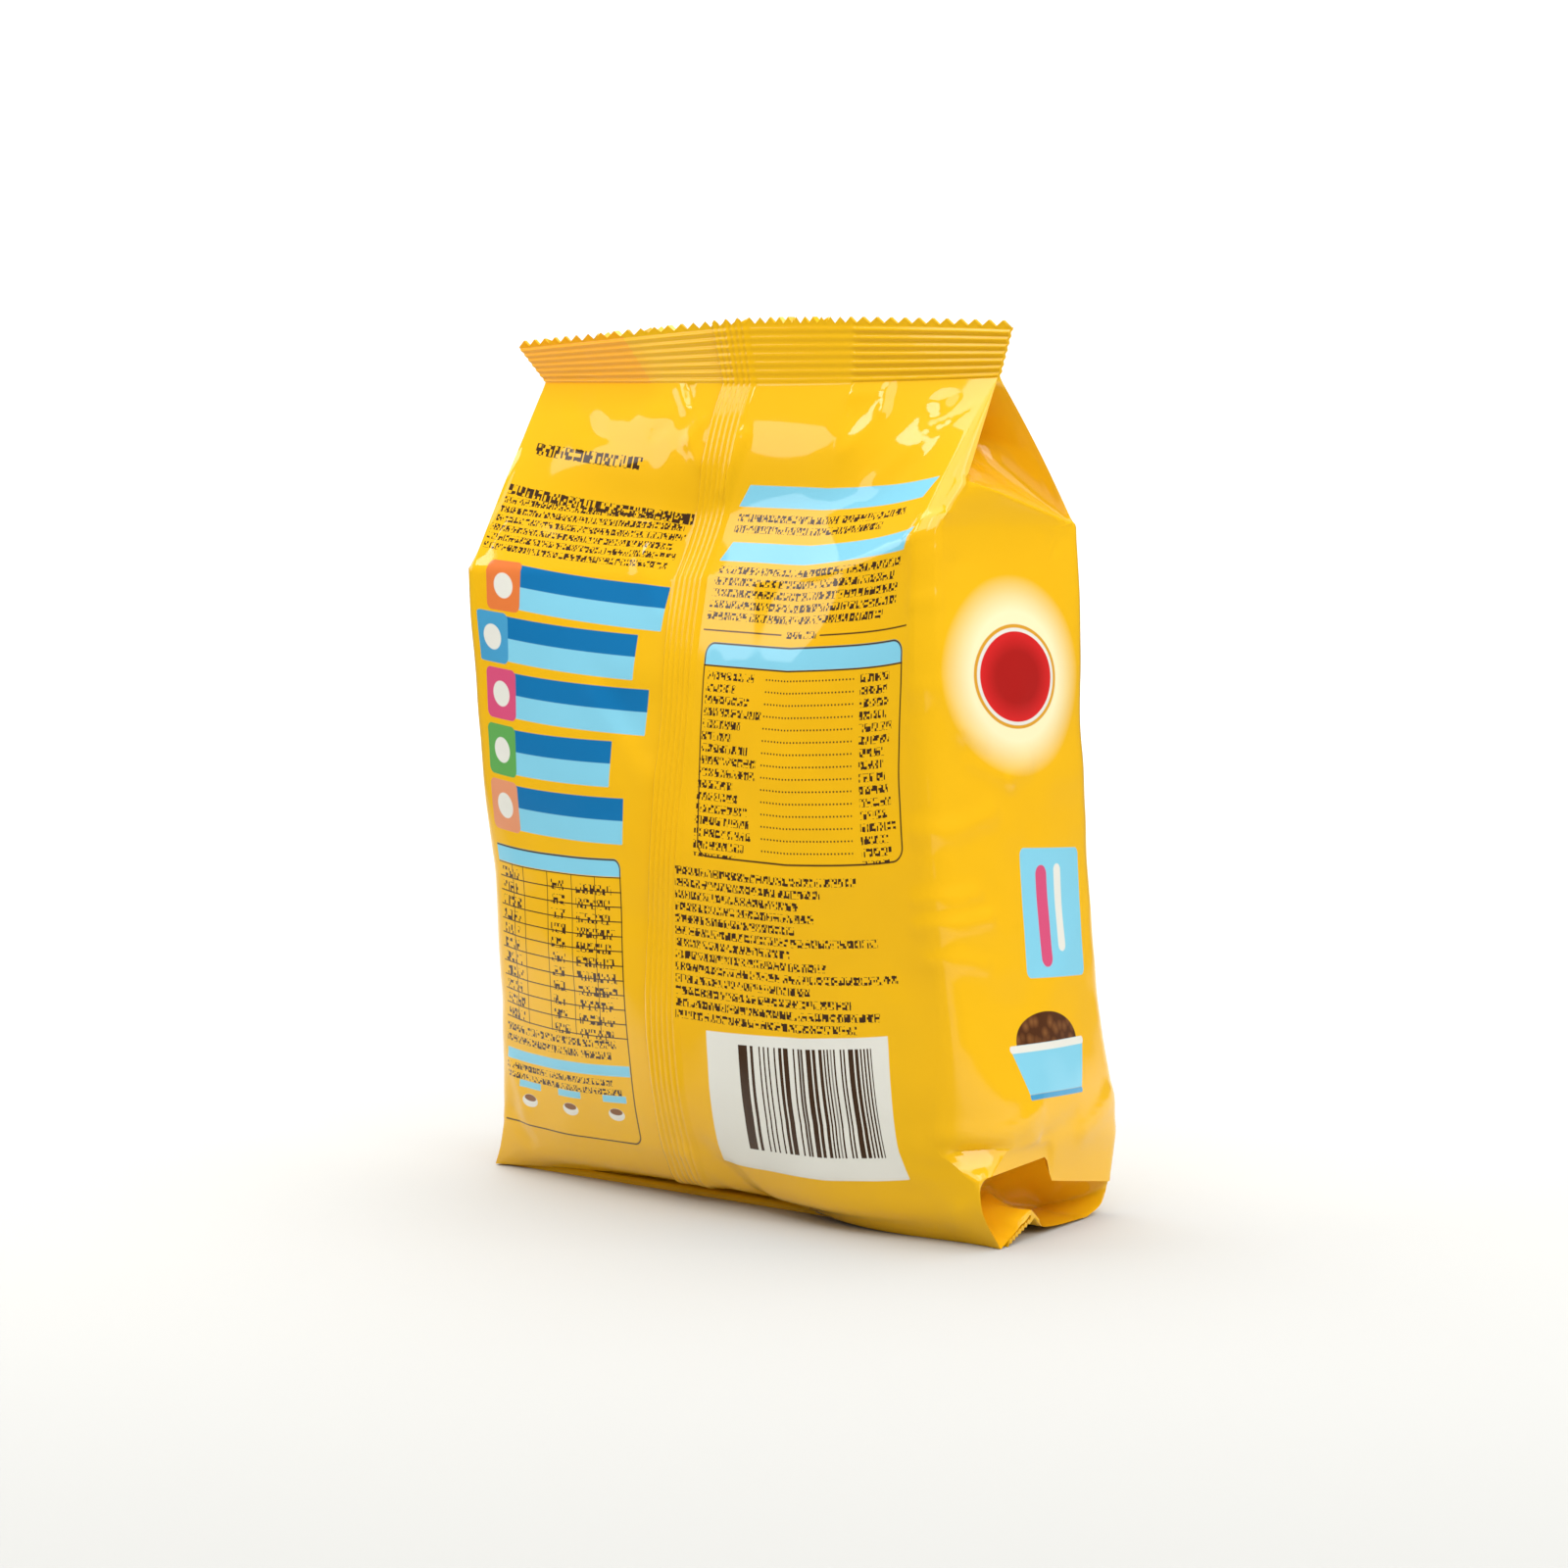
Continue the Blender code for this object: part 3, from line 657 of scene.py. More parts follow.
# Sizes of the slow waves and of the smaller bumps that the filling pushes out, in millimetres
WAVE_LENGTH = 26.0
WAVE_HEIGHT = 0.6
BUMP_LENGTH = 9.5
BUMP_HEIGHT = 0.22


def crease_push(crease, u, v):
    """Push of one crease at a place, in millimetres."""
    across = crease.end[0] - crease.start[0]
    down = crease.end[1] - crease.start[1]
    from_u = u - crease.start[0]
    from_v = v - crease.start[1]
    t = clamp((from_u * across + from_v * down) / (across * across + down * down))
    gap = math.hypot(from_u - across * t, from_v - down * t)
    return crease.height * clamp(1.0 - gap / crease.reach)


def dent_push(dent, u, v):
    """Push of one dent at a place, in millimetres."""
    gap = math.hypot((u - dent.middle[0]) / dent.across, (v - dent.middle[1]) / dent.down)
    return -dent.depth * ease(1.0 - gap)


def slack_push(u, v):
    """Push of the film's slow waves and of the filling behind it, in millimetres."""
    angle = 2.0 * math.pi * u / FILM_ROUND
    radius = FILM_ROUND / (2.0 * math.pi)
    spot = Vector((radius * math.cos(angle), radius * math.sin(angle), v))
    full = ease((v - 14.0) / 30.0) * (1.0 - ease((v - 186.0) / 14.0))
    filled = ease((v - 60.0) / 30.0) * (1.0 - ease((v - 186.0) / 14.0))
    return (full * WAVE_HEIGHT * noise.noise(spot / WAVE_LENGTH)
            + filled * BUMP_HEIGHT * noise.noise(spot / BUMP_LENGTH + Vector((7.0, 3.0, 1.0))))


def near(low, high, value, reach):
    return min(low, high) - reach < value < max(low, high) + reach


def relief_push(u, v):
    """All of the film's push outwards at a place, in millimetres."""
    push = slack_push(u, v)
    for crease in CREASES:
        if (near(crease.start[1], crease.end[1], v, crease.reach)
                and near(crease.start[0], crease.end[0], u, crease.reach)):
            push += crease_push(crease, u, v)
    for dent in DENTS:
        if abs(v - dent.middle[1]) < dent.down and abs(u - dent.middle[0]) < dent.across:
            push += dent_push(dent, u, v)
    return push * ease((v - 10.5) / 3.0)


# Tool for the bmesh: build the skin

def close_end(mesh, verts):
    """Close one end of the tube with a strip of faces between its back and front films."""
    back_count = len(back_columns())
    between = 2 * (COLUMNS_PER_CORNER - 1) + COLUMNS_PER_GUSSET + 1
    front_start = back_count + between
    front_count = len(front_columns())
    edges = []
    for i in range(back_count - 1):
        edges.append(mesh.edges.get((verts[i], verts[i + 1])))
    for i in range(front_start, front_start + front_count - 1):
        edges.append(mesh.edges.get((verts[i], verts[i + 1])))
    bmesh.ops.bridge_loops(mesh, edges=edges)
    for start in (back_count - 1, front_start + front_count - 1):
        gusset_verts = [verts[(start + i) % len(verts)] for i in range(between + 2)]
        bmesh.ops.contextual_create(mesh, geom=gusset_verts)


def cut_teeth(verts, height):
    """Raise the zigzag edge of the top seal: a valley at each tooth's ends and a peak between."""
    back = back_columns()
    front_start = len(back) + 2 * (COLUMNS_PER_CORNER - 1) + COLUMNS_PER_GUSSET + 1
    for start, places in ((0, back), (front_start, front_columns())):
        for i, place in enumerate(places):
            inside = (place * TOOTH_COUNT) % 1.0
            verts[start + i].co.z += height * (1.0 - abs(2.0 * inside - 1.0))


def grow_tube(mesh, rings):
    """Extrude the film from its top ring down through every row, and return the rings of verts."""
    made = bmesh.ops.create_circle(mesh, segments=len(rings[0]), radius=1.0)
    verts = list(made["verts"])
    for vert, point in zip(verts, rings[0]):
        vert.co = point * MM
    grown_rings = [verts]
    for points in rings[1:]:
        edges = []
        for i, vert in enumerate(verts):
            edges.append(mesh.edges.get((vert, verts[(i + 1) % len(verts)])))
        grown = bmesh.ops.extrude_edge_only(mesh, edges=edges)["geom"]
        fresh = {element for element in grown if isinstance(element, bmesh.types.BMVert)}
        following = []
        for vert in verts:
            for edge in vert.link_edges:
                other = edge.other_vert(vert)
                if other in fresh:
                    following.append(other)
                    break
        for vert, point in zip(following, points):
            vert.co = point * MM
        verts = following
        grown_rings.append(verts)
    return grown_rings


def lay_map(mesh, grown_rings, rows, lengths):
    """UV map of the film: U round the bag and V down it, as shares of the film's own size."""
    place_of = {}
    for row, verts, down in zip(rows, grown_rings, lengths):
        for vert, u, v in zip(verts, places_round(row), down):
            place_of[vert] = (u / FILM_ROUND, 1.0 - v / FILM_LENGTH)
    layer = mesh.loops.layers.uv.new("film")
    for face in mesh.faces:
        at_end = max(place_of[vert][0] for vert in face.verts) > 0.9
        for loop in face.loops:
            u, v = place_of[loop.vert]
            if at_end and u < 0.1:
                u = 1.0
            loop[layer].uv = (u, v)


# Where the back's print is split between its films: down the back, and across it in the upper
# and lower halves, in millimetres
BACK_SPLIT_DOWN = 120.6
BACK_SPLIT_ACROSS = (64.5, 57.0)


def film_at(u, v):
    """Material slot of the film at a place in millimetres."""
    if u < PANEL_WIDTH:
        low = 1 if v > BACK_SPLIT_DOWN else 0
        return 2 * low + (1 if u > BACK_SPLIT_ACROSS[low] else 0)
    if PANEL_WIDTH + GUSSET_WIDTH < u < 2.0 * PANEL_WIDTH + GUSSET_WIDTH:
        return 5
    return 4


def assign_films(mesh):
    layer = mesh.loops.layers.uv["film"]
    for face in mesh.faces:
        place = sum((loop[layer].uv for loop in face.loops), Vector((0.0, 0.0)))
        place /= len(face.loops)
        face.material_index = film_at(place.x * FILM_ROUND, (1.0 - place.y) * FILM_LENGTH)


def open_share(u, v):
    """0 where the film lies folded in a tuck, so that it isn't moved there, and 1 elsewhere."""
    from_back = u - PANEL_WIDTH
    if u > 2.0 * PANEL_WIDTH + GUSSET_WIDTH:
        from_back = FILM_ROUND - u
    by_mouth = ease((v - 182.0) / 4.0)
    if from_back < 0.0:
        return 1.0 - by_mouth * ease((u - PANEL_WIDTH + 14.0) / 6.0) * ease((196.0 - v) / 3.0)
    if from_back > GUSSET_WIDTH:
        return 1.0
    at_edge = 1.0 - ease(min(from_back, GUSSET_WIDTH - from_back) / 2.0)
    at_edge *= 1.0 - by_mouth
    crease = 38.0 + 13.0 * from_back / GUSSET_WIDTH
    if u > PANEL_WIDTH + GUSSET_WIDTH:
        crease = 55.0
    return max(at_edge, ease((v - crease) / 6.0)) * (1.0 - by_mouth)


def deepest_push(u, v):
    """How far in the film may be pushed before it meets a tuck behind it, in millimetres."""
    from_edge = min(u, abs(PANEL_WIDTH - u))
    if u > PANEL_WIDTH:
        from_edge = min(abs(u - PANEL_WIDTH - GUSSET_WIDTH), abs(FILM_ROUND - GUSSET_WIDTH - u))
    if v > TUCKS_END or from_edge > GUSSET_WIDTH / 2:
        return -GUSSET_WIDTH
    return -0.8 * TUCK_PLY * from_edge / (GUSSET_WIDTH / 2)


def move_by_relief(grown_rings, rows, lengths, settings):
    """Crimp the seals and dent, crease and bump the film along its own normals."""
    for row, verts, down in zip(rows, grown_rings, lengths):
        share = row.v - TOP_ROOT + 1.0
        for vert, u, v in zip(verts, places_round(row), down):
            if row.v > TOP_ROOT:
                push = relief_push(u, v) * open_share(u, v) * settings.slack
                push = max(push, deepest_push(u, v))
                vert.co += vert.normal * push * (1.0 - ease(row.v - BASE_EDGE + 1.0)) * MM
                continue
            s = u / PANEL_WIDTH
            if u > PANEL_WIDTH:
                s = clamp((2.0 * PANEL_WIDTH + GUSSET_WIDTH - u) / PANEL_WIDTH)
            if u > 2.0 * PANEL_WIDTH + GUSSET_WIDTH:
                s = 0.0
            vert.co.y += seal_rib(s, share) * settings.seal_rib_scale * MM


def build_skin(settings):
    """The whole film as a bmesh, in the frame's metres."""
    places = film_rows()
    rows = [Row(v) for v in places]
    rings = []
    for row in rows:
        rings.append(ring(row, settings.fin_rib_height / MM))
    lengths = lengths_down(rings, len(rings[0]))
    mesh = bmesh.new()
    grown_rings = grow_tube(mesh, rings)
    close_end(mesh, grown_rings[0])
    close_end(mesh, grown_rings[-1])
    cut_teeth(grown_rings[0], settings.tooth_height)
    low = Vector([min(vert.co[axis] for vert in mesh.verts) for axis in range(3)])
    high = Vector([max(vert.co[axis] for vert in mesh.verts) for axis in range(3)])
    middle = (low + high) / 2
    target = (Vector(POUCH_BOX[0]) + Vector(POUCH_BOX[1])) / 2
    shift = Vector((target.x - middle.x, target.y - middle.y, POUCH_BOX[0][2] - low.z))
    bmesh.ops.translate(mesh, verts=mesh.verts, vec=shift)
    bmesh.ops.recalc_face_normals(mesh, faces=mesh.faces)
    if mesh.calc_volume(signed=True) < 0.0:
        bmesh.ops.reverse_faces(mesh, faces=mesh.faces)
    mesh.normal_update()
    lay_map(mesh, grown_rings, rows, lengths)
    assign_films(mesh)
    move_by_relief(grown_rings, rows, lengths, settings)
    return mesh


# Shader nodes

class Nodes:
    """Short ways to add nodes to one tree and wire them."""

    def __init__(self, tree):
        self.tree = tree

    def add(self, kind):
        return self.tree.nodes.new(kind)

    def wire(self, value, socket):
        if isinstance(value, bpy.types.NodeSocket):
            self.tree.links.new(value, socket)
        else:
            socket.default_value = value

    def math(self, operation, *values):
        node = self.add("ShaderNodeMath")
        node.operation = operation
        for value, socket in zip(values, node.inputs):
            self.wire(value, socket)
        return node.outputs[0]

    def plus(self, a, b):
        return self.math("ADD", a, b)

    def minus(self, a, b):
        return self.math("SUBTRACT", a, b)

    def times(self, a, b):
        return self.math("MULTIPLY", a, b)

    def over(self, a, b):
        return self.math("DIVIDE", a, b)

    def more(self, a, b):
        return self.math("MAXIMUM", a, b)

    def less(self, a, b):
        return self.math("MINIMUM", a, b)

    def size(self, a):
        return self.math("ABSOLUTE", a)

    def soft_step(self, value, edge, width):
        """0 below the edge and 1 above it, over a narrow width."""
        low = self.minus(edge, width)
        high = self.plus(edge, width)
        node = self.add("ShaderNodeMapRange")
        node.interpolation_type = "LINEAR"
        self.wire(value, node.inputs["Value"])
        self.wire(low, node.inputs["From Min"])
        self.wire(high, node.inputs["From Max"])
        return node.outputs["Result"]

    def between(self, value, low, high, width):
        """1 from low to high and 0 outside."""
        return self.times(self.soft_step(value, low, width),
                          self.minus(1.0, self.soft_step(value, high, width)))

    def blend(self, mask, below, above):
        """The colour below where the mask is 0, and the one above where it is 1."""
        node = self.add("ShaderNodeMix")
        node.data_type = "RGBA"
        self.wire(mask, node.inputs[0])
        self.wire(below, node.inputs[6])
        self.wire(above, node.inputs[7])
        return node.outputs[2]

    def vector(self, x, y, z=0.0):
        node = self.add("ShaderNodeCombineXYZ")
        for value, socket in zip((x, y, z), node.inputs):
            self.wire(value, socket)
        return node.outputs[0]

    def parts(self, vector):
        node = self.add("ShaderNodeSeparateXYZ")
        self.wire(vector, node.inputs[0])
        return node.outputs[0], node.outputs[1]

    def dice(self, vector):
        """A steady random number from 0 to 1 for each value of the vector."""
        node = self.add("ShaderNodeTexWhiteNoise")
        node.noise_dimensions = "2D"
        self.wire(vector, node.inputs["Vector"])
        return node.outputs["Value"]

    def clouds(self, vector, scale, detail=2.0):
        node = self.add("ShaderNodeTexNoise")
        self.wire(vector, node.inputs["Vector"])
        node.inputs["Scale"].default_value = scale
        node.inputs["Detail"].default_value = detail
        return node.outputs["Fac"]

    def group(self, tree, **values):
        """A placed group. A value's name is its socket's, with _ for a space."""
        node = self.add("ShaderNodeGroup")
        node.node_tree = tree
        for name, value in values.items():
            self.wire(value, node.inputs[name.replace("_", " ")])
        return node


def new_group(name, inputs, outputs):
    """An empty node group: its tree, its Nodes and the sockets that its inputs give inside."""
    tree = bpy.data.node_groups.new(name, "ShaderNodeTree")
    for label, kind, default in inputs:
        socket = tree.interface.new_socket(label, in_out="INPUT", socket_type="NodeSocket" + kind)
        if default is not None:
            socket.default_value = default
    for label, kind in outputs:
        tree.interface.new_socket(label, in_out="OUTPUT", socket_type="NodeSocket" + kind)
    nodes = Nodes(tree)
    entry = nodes.add("NodeGroupInput")
    leaving = nodes.add("NodeGroupOutput")
    return tree, nodes, entry.outputs, leaving.inputs


def box_group():
    """A rounded box on the film, in millimetres, with its sides leaning and its top sloping."""
    tree, nodes, given, out = new_group(
        "Printed Box",
        (("Place", "Vector", None), ("Left", "Float", 0.0), ("Top", "Float", 0.0),
         ("Width", "Float", 10.0), ("Height", "Float", 10.0), ("Corner", "Float", 0.2),
         ("Slope", "Float", 0.0), ("Lean", "Float", 0.0), ("Line", "Float", 0.3),
         ("Edge", "Float", 0.12)),
        (("Fill", "Float"), ("Outline", "Float"), ("Inside", "Vector")),
    )
    x, y = nodes.parts(given["Place"])
    across = nodes.minus(x, given["Left"])
    down = nodes.minus(nodes.minus(y, given["Top"]), nodes.times(across, given["Slope"]))
    across = nodes.minus(across, nodes.times(down, given["Lean"]))
    half_width = nodes.times(given["Width"], 0.5)
    half_height = nodes.times(given["Height"], 0.5)
    from_x = nodes.plus(nodes.minus(nodes.size(nodes.minus(across, half_width)), half_width),
                        given["Corner"])
    from_y = nodes.plus(nodes.minus(nodes.size(nodes.minus(down, half_height)), half_height),
                        given["Corner"])
    outer = nodes.math("SQRT", nodes.plus(nodes.math("POWER", nodes.more(from_x, 0.0), 2.0),
                                          nodes.math("POWER", nodes.more(from_y, 0.0), 2.0)))
    inner = nodes.less(nodes.more(from_x, from_y), 0.0)
    distance = nodes.minus(nodes.plus(outer, inner), given["Corner"])
    fill = nodes.minus(1.0, nodes.soft_step(distance, 0.0, given["Edge"]))
    nodes.wire(fill, out["Fill"])
    core = nodes.minus(1.0, nodes.soft_step(nodes.plus(distance, given["Line"]), 0.0,
                                            given["Edge"]))
    nodes.wire(nodes.minus(fill, core), out["Outline"])
    nodes.wire(nodes.vector(across, down), out["Inside"])
    return tree


def lines_group():
    """Rows of small random dabs, which stand for small print from a step away."""
    tree, nodes, given, out = new_group(
        "Small Print",
        (("Inside", "Vector", None), ("Width", "Float", 30.0), ("Height", "Float", 20.0),
         ("Pitch", "Float", 3.0), ("Ragged", "Float", 0.1), ("Weight", "Float", 0.5),
         ("Seed", "Float", 0.0)),
        (("Ink", "Float"),),
    )
    x, y = nodes.parts(given["Inside"])
    line = nodes.math("FLOOR", nodes.over(y, given["Pitch"]))
    inside_line = nodes.math("FRACT", nodes.over(y, given["Pitch"]))
    cell = nodes.times(given["Pitch"], 0.78)
    letter = nodes.over(nodes.minus(x, nodes.times(line, 0.37)), cell)
    inside_letter = nodes.math("FRACT", letter)
    stroke = nodes.vector(
        nodes.plus(nodes.math("FLOOR", nodes.times(letter, 4.0)), given["Seed"]),
        nodes.plus(nodes.math("FLOOR", nodes.times(inside_line, 5.0)),
                   nodes.times(line, 9.0)))
    dab = nodes.soft_step(nodes.dice(stroke), nodes.minus(1.0, given["Weight"]), 0.02)
    body = nodes.times(nodes.between(inside_line, 0.16, 0.84, 0.02),
                       nodes.between(inside_letter, 0.08, 0.94, 0.02))
    end = nodes.times(given["Width"], nodes.minus(1.0, nodes.times(
        nodes.dice(nodes.vector(line, given["Seed"])), given["Ragged"])))
    extent = nodes.times(nodes.between(x, 0.0, end, 0.05),
                         nodes.between(y, 0.0, given["Height"], 0.05))
    nodes.wire(nodes.times(nodes.times(dab, body), extent), out["Ink"])
    return tree


def film_group():
    """The bare film: its yellow, gloss and fine surface, by place on the film."""
    tree, nodes, given, out = new_group(
        "Gloss Film",
        (("Place", "Vector", None), ("Yellow", "Color", None), ("Orange", "Color", None)),
        (("Colour", "Color"), ("Roughness", "Float"), ("Height", "Float")),
    )
    soft = nodes.clouds(given["Place"], 0.02, 2.0)
    shade = nodes.times(nodes.soft_step(soft, 0.5, 0.25), 0.25)
    nodes.wire(nodes.blend(shade, given["Yellow"], given["Orange"]), out["Colour"])
    fine = nodes.clouds(given["Place"], 0.35, 4.0)
    nodes.wire(nodes.plus(0.28, nodes.times(fine, 0.14)), out["Roughness"])
    nodes.wire(nodes.plus(nodes.times(nodes.clouds(given["Place"], 0.12, 2.0), 0.6),
                          nodes.times(fine, 0.12)), out["Height"])
    return tree


def start_material(name, groups, settings):
    """A film material with its place on the film, bare film colour and shader wired up."""
    material = bpy.data.materials.new(name)
    material.use_nodes = True
    nodes = Nodes(material.node_tree)
    shader = material.node_tree.nodes["Principled BSDF"]
    shader.inputs["IOR"].default_value = 1.5
    shader.inputs["Specular IOR Level"].default_value = 0.06
    shader.inputs["Coat Weight"].default_value = 1.0
    shader.inputs["Coat Roughness"].default_value = 0.045
    chart = nodes.add("ShaderNodeUVMap")
    chart.uv_map = "film"
    u, v = nodes.parts(chart.outputs[0])
    place = nodes.vector(nodes.times(u, FILM_ROUND),
                         nodes.times(nodes.minus(1.0, v), FILM_LENGTH))
    film = nodes.group(groups["film"], Place=place)
    film.inputs["Yellow"].default_value = settings.film_colour
    film.inputs["Orange"].default_value = settings.film_shade_colour
    nodes.wire(film.outputs["Roughness"], shader.inputs["Roughness"])
    bump = nodes.add("ShaderNodeBump")
    bump.inputs["Distance"].default_value = 0.15 * MM
    bump.inputs["Strength"].default_value = 0.5
    nodes.wire(film.outputs["Height"], bump.inputs["Height"])
    nodes.wire(bump.outputs["Normal"], shader.inputs["Normal"])
    return material, nodes, shader, place, film.outputs["Colour"]


class Print:
    """Shapes printed one over another on a film, placed in millimetres on it."""

    def __init__(self, nodes, groups, place, colour):
        self.nodes = nodes
        self.groups = groups
        self.place = place
        self.colour = colour

    def shape(self, left, top, width, height, **more):
        return self.nodes.group(self.groups["box"], Place=self.place, Left=left, Top=top,
                                Width=width, Height=height, **more)

    def lay(self, mask, ink):
        self.colour = self.nodes.blend(mask, self.colour, ink)

    def box(self, ink, left, top, width, height, **more):
        made = self.shape(left, top, width, height, **more)
        self.lay(made.outputs["Fill"], ink)
        return made

    def outline(self, ink, left, top, width, height, **more):
        made = self.shape(left, top, width, height, **more)
        self.lay(made.outputs["Outline"], ink)
        return made

    def lines(self, ink, left, top, width, height, pitch, weight=0.5, ragged=0.1, **more):
        """Rows of small print."""
        made = self.shape(left, top, width, height, **more)
        small = self.nodes.group(self.groups["lines"], Inside=made.outputs["Inside"],
                                 Width=width, Height=height, Pitch=pitch, Weight=weight,
                                 Ragged=ragged, Seed=left + top)
        self.lay(self.nodes.times(small.outputs["Ink"], made.outputs["Fill"]), ink)

    def disc(self, ink, x, y, radius, squash=1.0, edge=0.12):
        """A disc, or an oval whose height is squash times its width."""
        made = self.shape(x - radius, y - radius * squash, 2.0 * radius, 2.0 * radius * squash)
        across, down = self.nodes.parts(made.outputs["Inside"])
        distance = self.round_distance(across, down, radius, squash)
        mask = self.nodes.minus(1.0, self.nodes.soft_step(distance, radius, edge))
        self.lay(mask, ink)
        return distance

    def round_distance(self, across, down, radius, squash):
        nodes = self.nodes
        x = nodes.minus(across, radius)
        y = nodes.over(nodes.minus(down, radius * squash), squash)
        return nodes.math("SQRT", nodes.plus(nodes.times(x, x), nodes.times(y, y)))


def ink_colours(settings):
    """The printed colours by name, linear and opaque."""
    return {
        "ink": settings.ink_colour,
        "dark blue": settings.dark_blue,
        "light blue": settings.light_blue,
        "red": settings.red,
        "white": (0.84, 0.83, 0.75, 1.0),
        # painted shade of the top seal's left part, not a printed ink
        "painted seal shade": (0.98, 0.43, 0.006, 1.0),
        "mid blue": (0.07, 0.36, 0.62, 1.0),
        "orange": (0.82, 0.21, 0.05, 1.0),
        "pink": (0.72, 0.09, 0.21, 1.0),
        "green": (0.13, 0.42, 0.10, 1.0),
        "salmon": (0.82, 0.33, 0.17, 1.0),
        "cream": (0.98, 0.90, 0.55, 1.0),
        "gold": (0.75, 0.36, 0.03, 1.0),
        "deep red": (0.45, 0.012, 0.01, 1.0),
        "brown": (0.26, 0.10, 0.03, 1.0),
        "dark brown": (0.09, 0.03, 0.01, 1.0),
    }


# Printed bars down the back's left: left end, top, width and slope, in millimetres
BARS = (
    (13.4, 57.7, 47.0, 0.06),
    (9.2, 69.8, 43.0, 0.04),
    (11.2, 82.5, 45.6, 0.026),
    (10.4, 95.4, 35.0, 0.0),
    (10.0, 108.1, 39.4, -0.005),
)
BAR_HEIGHT = 10.2
BAR_DARK_HEIGHT = 5.0
TILE_WIDTH = 9.6


def print_bars(sheet, inks):
    """Two-tone bars, each led by a coloured tile with a pale disc."""
    nodes = sheet.nodes
    tiles = (inks["orange"], inks["mid blue"], inks["pink"], inks["green"], inks["salmon"])
    for (left, top, width, slope), tile in zip(BARS, tiles):
        bar = sheet.shape(left, top, width, BAR_HEIGHT, Slope=slope, Lean=-0.1, Corner=0.3)
        down = nodes.parts(bar.outputs["Inside"])[1]
        low = nodes.soft_step(down, BAR_DARK_HEIGHT, 0.1)
        sheet.lay(bar.outputs["Fill"], nodes.blend(low, inks["dark blue"], inks["light blue"]))
        sheet.box(tile, left - TILE_WIDTH, top - 0.6, TILE_WIDTH + 0.8, 11.6, Corner=1.6,
                  Lean=-0.03)
        sheet.disc(inks["white"], left - TILE_WIDTH / 2 + 0.2, top + 5.2, 2.9)


TABLE_ROW_PITCH = 2.62


def print_table(sheet, inks):
    """Rounded table with a pale header, row labels, dotted leaders and figures."""
    nodes = sheet.nodes
    left, top, width, height = 75.0, 72.6, 62.2, 46.6
    body = sheet.shape(left, top, width, height, Corner=3.0, Lean=-0.02, Line=0.4)
    across, down = nodes.parts(body.outputs["Inside"])
    header = nodes.minus(1.0, nodes.soft_step(down, 5.0, 0.1))
    sheet.lay(nodes.times(body.outputs["Fill"], header), inks["light blue"])
    under = nodes.between(down, 5.0, 5.35, 0.08)
    sheet.lay(nodes.times(body.outputs["Fill"], under), inks["ink"])
    sheet.lay(body.outputs["Outline"], inks["ink"])
    sheet.lines(inks["ink"], left + 1.6, top + 6.0, 20.0, 40.6, TABLE_ROW_PITCH, ragged=0.55,
                Lean=-0.1)
    sheet.lines(inks["ink"], left + 50.0, top + 6.0, 10.0, 40.6, TABLE_ROW_PITCH, ragged=0.3)
    dots = nodes.between(nodes.math("FRACT", nodes.times(across, 1.0)), 0.15, 0.6, 0.05)
    line = nodes.math("FRACT", nodes.over(nodes.minus(down, 6.0), TABLE_ROW_PITCH))
    row = nodes.times(nodes.between(line, 0.42, 0.56, 0.03),
                      nodes.between(down, 6.0, 45.5, 0.1))
    reach = nodes.between(across, 21.0, 48.5, 0.1)
    sheet.lay(nodes.times(nodes.times(dots, row), reach), inks["ink"])


FEED_COLUMNS = (5.6, 10.1, 19.4, 28.6, 37.6)
FEED_ROW_PITCH = 3.25
FEED_ROWS = 11


def print_feed_chart(sheet, inks):
    """Chart at the left edge: a pale header, a ruled grid and notes under it."""
    nodes = sheet.nodes
    chart = sheet.shape(-8.0, 123.0, 55.2, 66.0, Corner=2.4, Slope=-0.03, Line=0.4)
    across, down = nodes.parts(chart.outputs["Inside"])
    header = nodes.minus(1.0, nodes.soft_step(down, 3.9, 0.1))
    sheet.lay(nodes.times(chart.outputs["Fill"], header), inks["light blue"])
    grid_end = 4.2 + FEED_ROWS * FEED_ROW_PITCH
    in_grid = nodes.between(down, 4.0, grid_end + 0.2, 0.08)
    line = nodes.math("FRACT", nodes.over(nodes.minus(down, 4.0), FEED_ROW_PITCH))
    rules = nodes.minus(1.0, nodes.soft_step(line, 0.08, 0.03))
    for column in FEED_COLUMNS:
        rules = nodes.more(rules, nodes.between(across, column + 7.9, column + 8.15, 0.06))
    sheet.lay(nodes.times(nodes.times(rules, in_grid), chart.outputs["Fill"]), inks["ink"])
    sheet.lay(chart.outputs["Outline"], inks["ink"])
    for left, width in ((1.0, 8.0), (20.6, 6.0), (30.0, 15.0)):
        sheet.lines(inks["ink"], left, 127.3, width, FEED_ROWS * FEED_ROW_PITCH - 0.4,
                    FEED_ROW_PITCH, ragged=0.2, weight=0.45, Slope=-0.03)
    sheet.lines(inks["ink"], -2.0, 163.8, 46.5, 5.2, 2.6, Slope=-0.045)
    sheet.box(inks["light blue"], -4.0, 170.4, 50.6, 2.5, Slope=-0.055)
    sheet.lines(inks["ink"], -2.0, 173.2, 46.5, 4.4, 2.2, Slope=-0.05)
    for x, y in ((9.2, 180.6), (24.2, 179.8), (40.2, 179.0)):
        sheet.box(inks["light blue"], x - 4.2, y - 3.6, 8.2, 1.7, Slope=-0.05)
        sheet.disc(inks["white"], x, y + 1.0, 2.7, squash=0.6)
        sheet.disc(inks["brown"], x, y + 0.3, 2.1, squash=0.4)


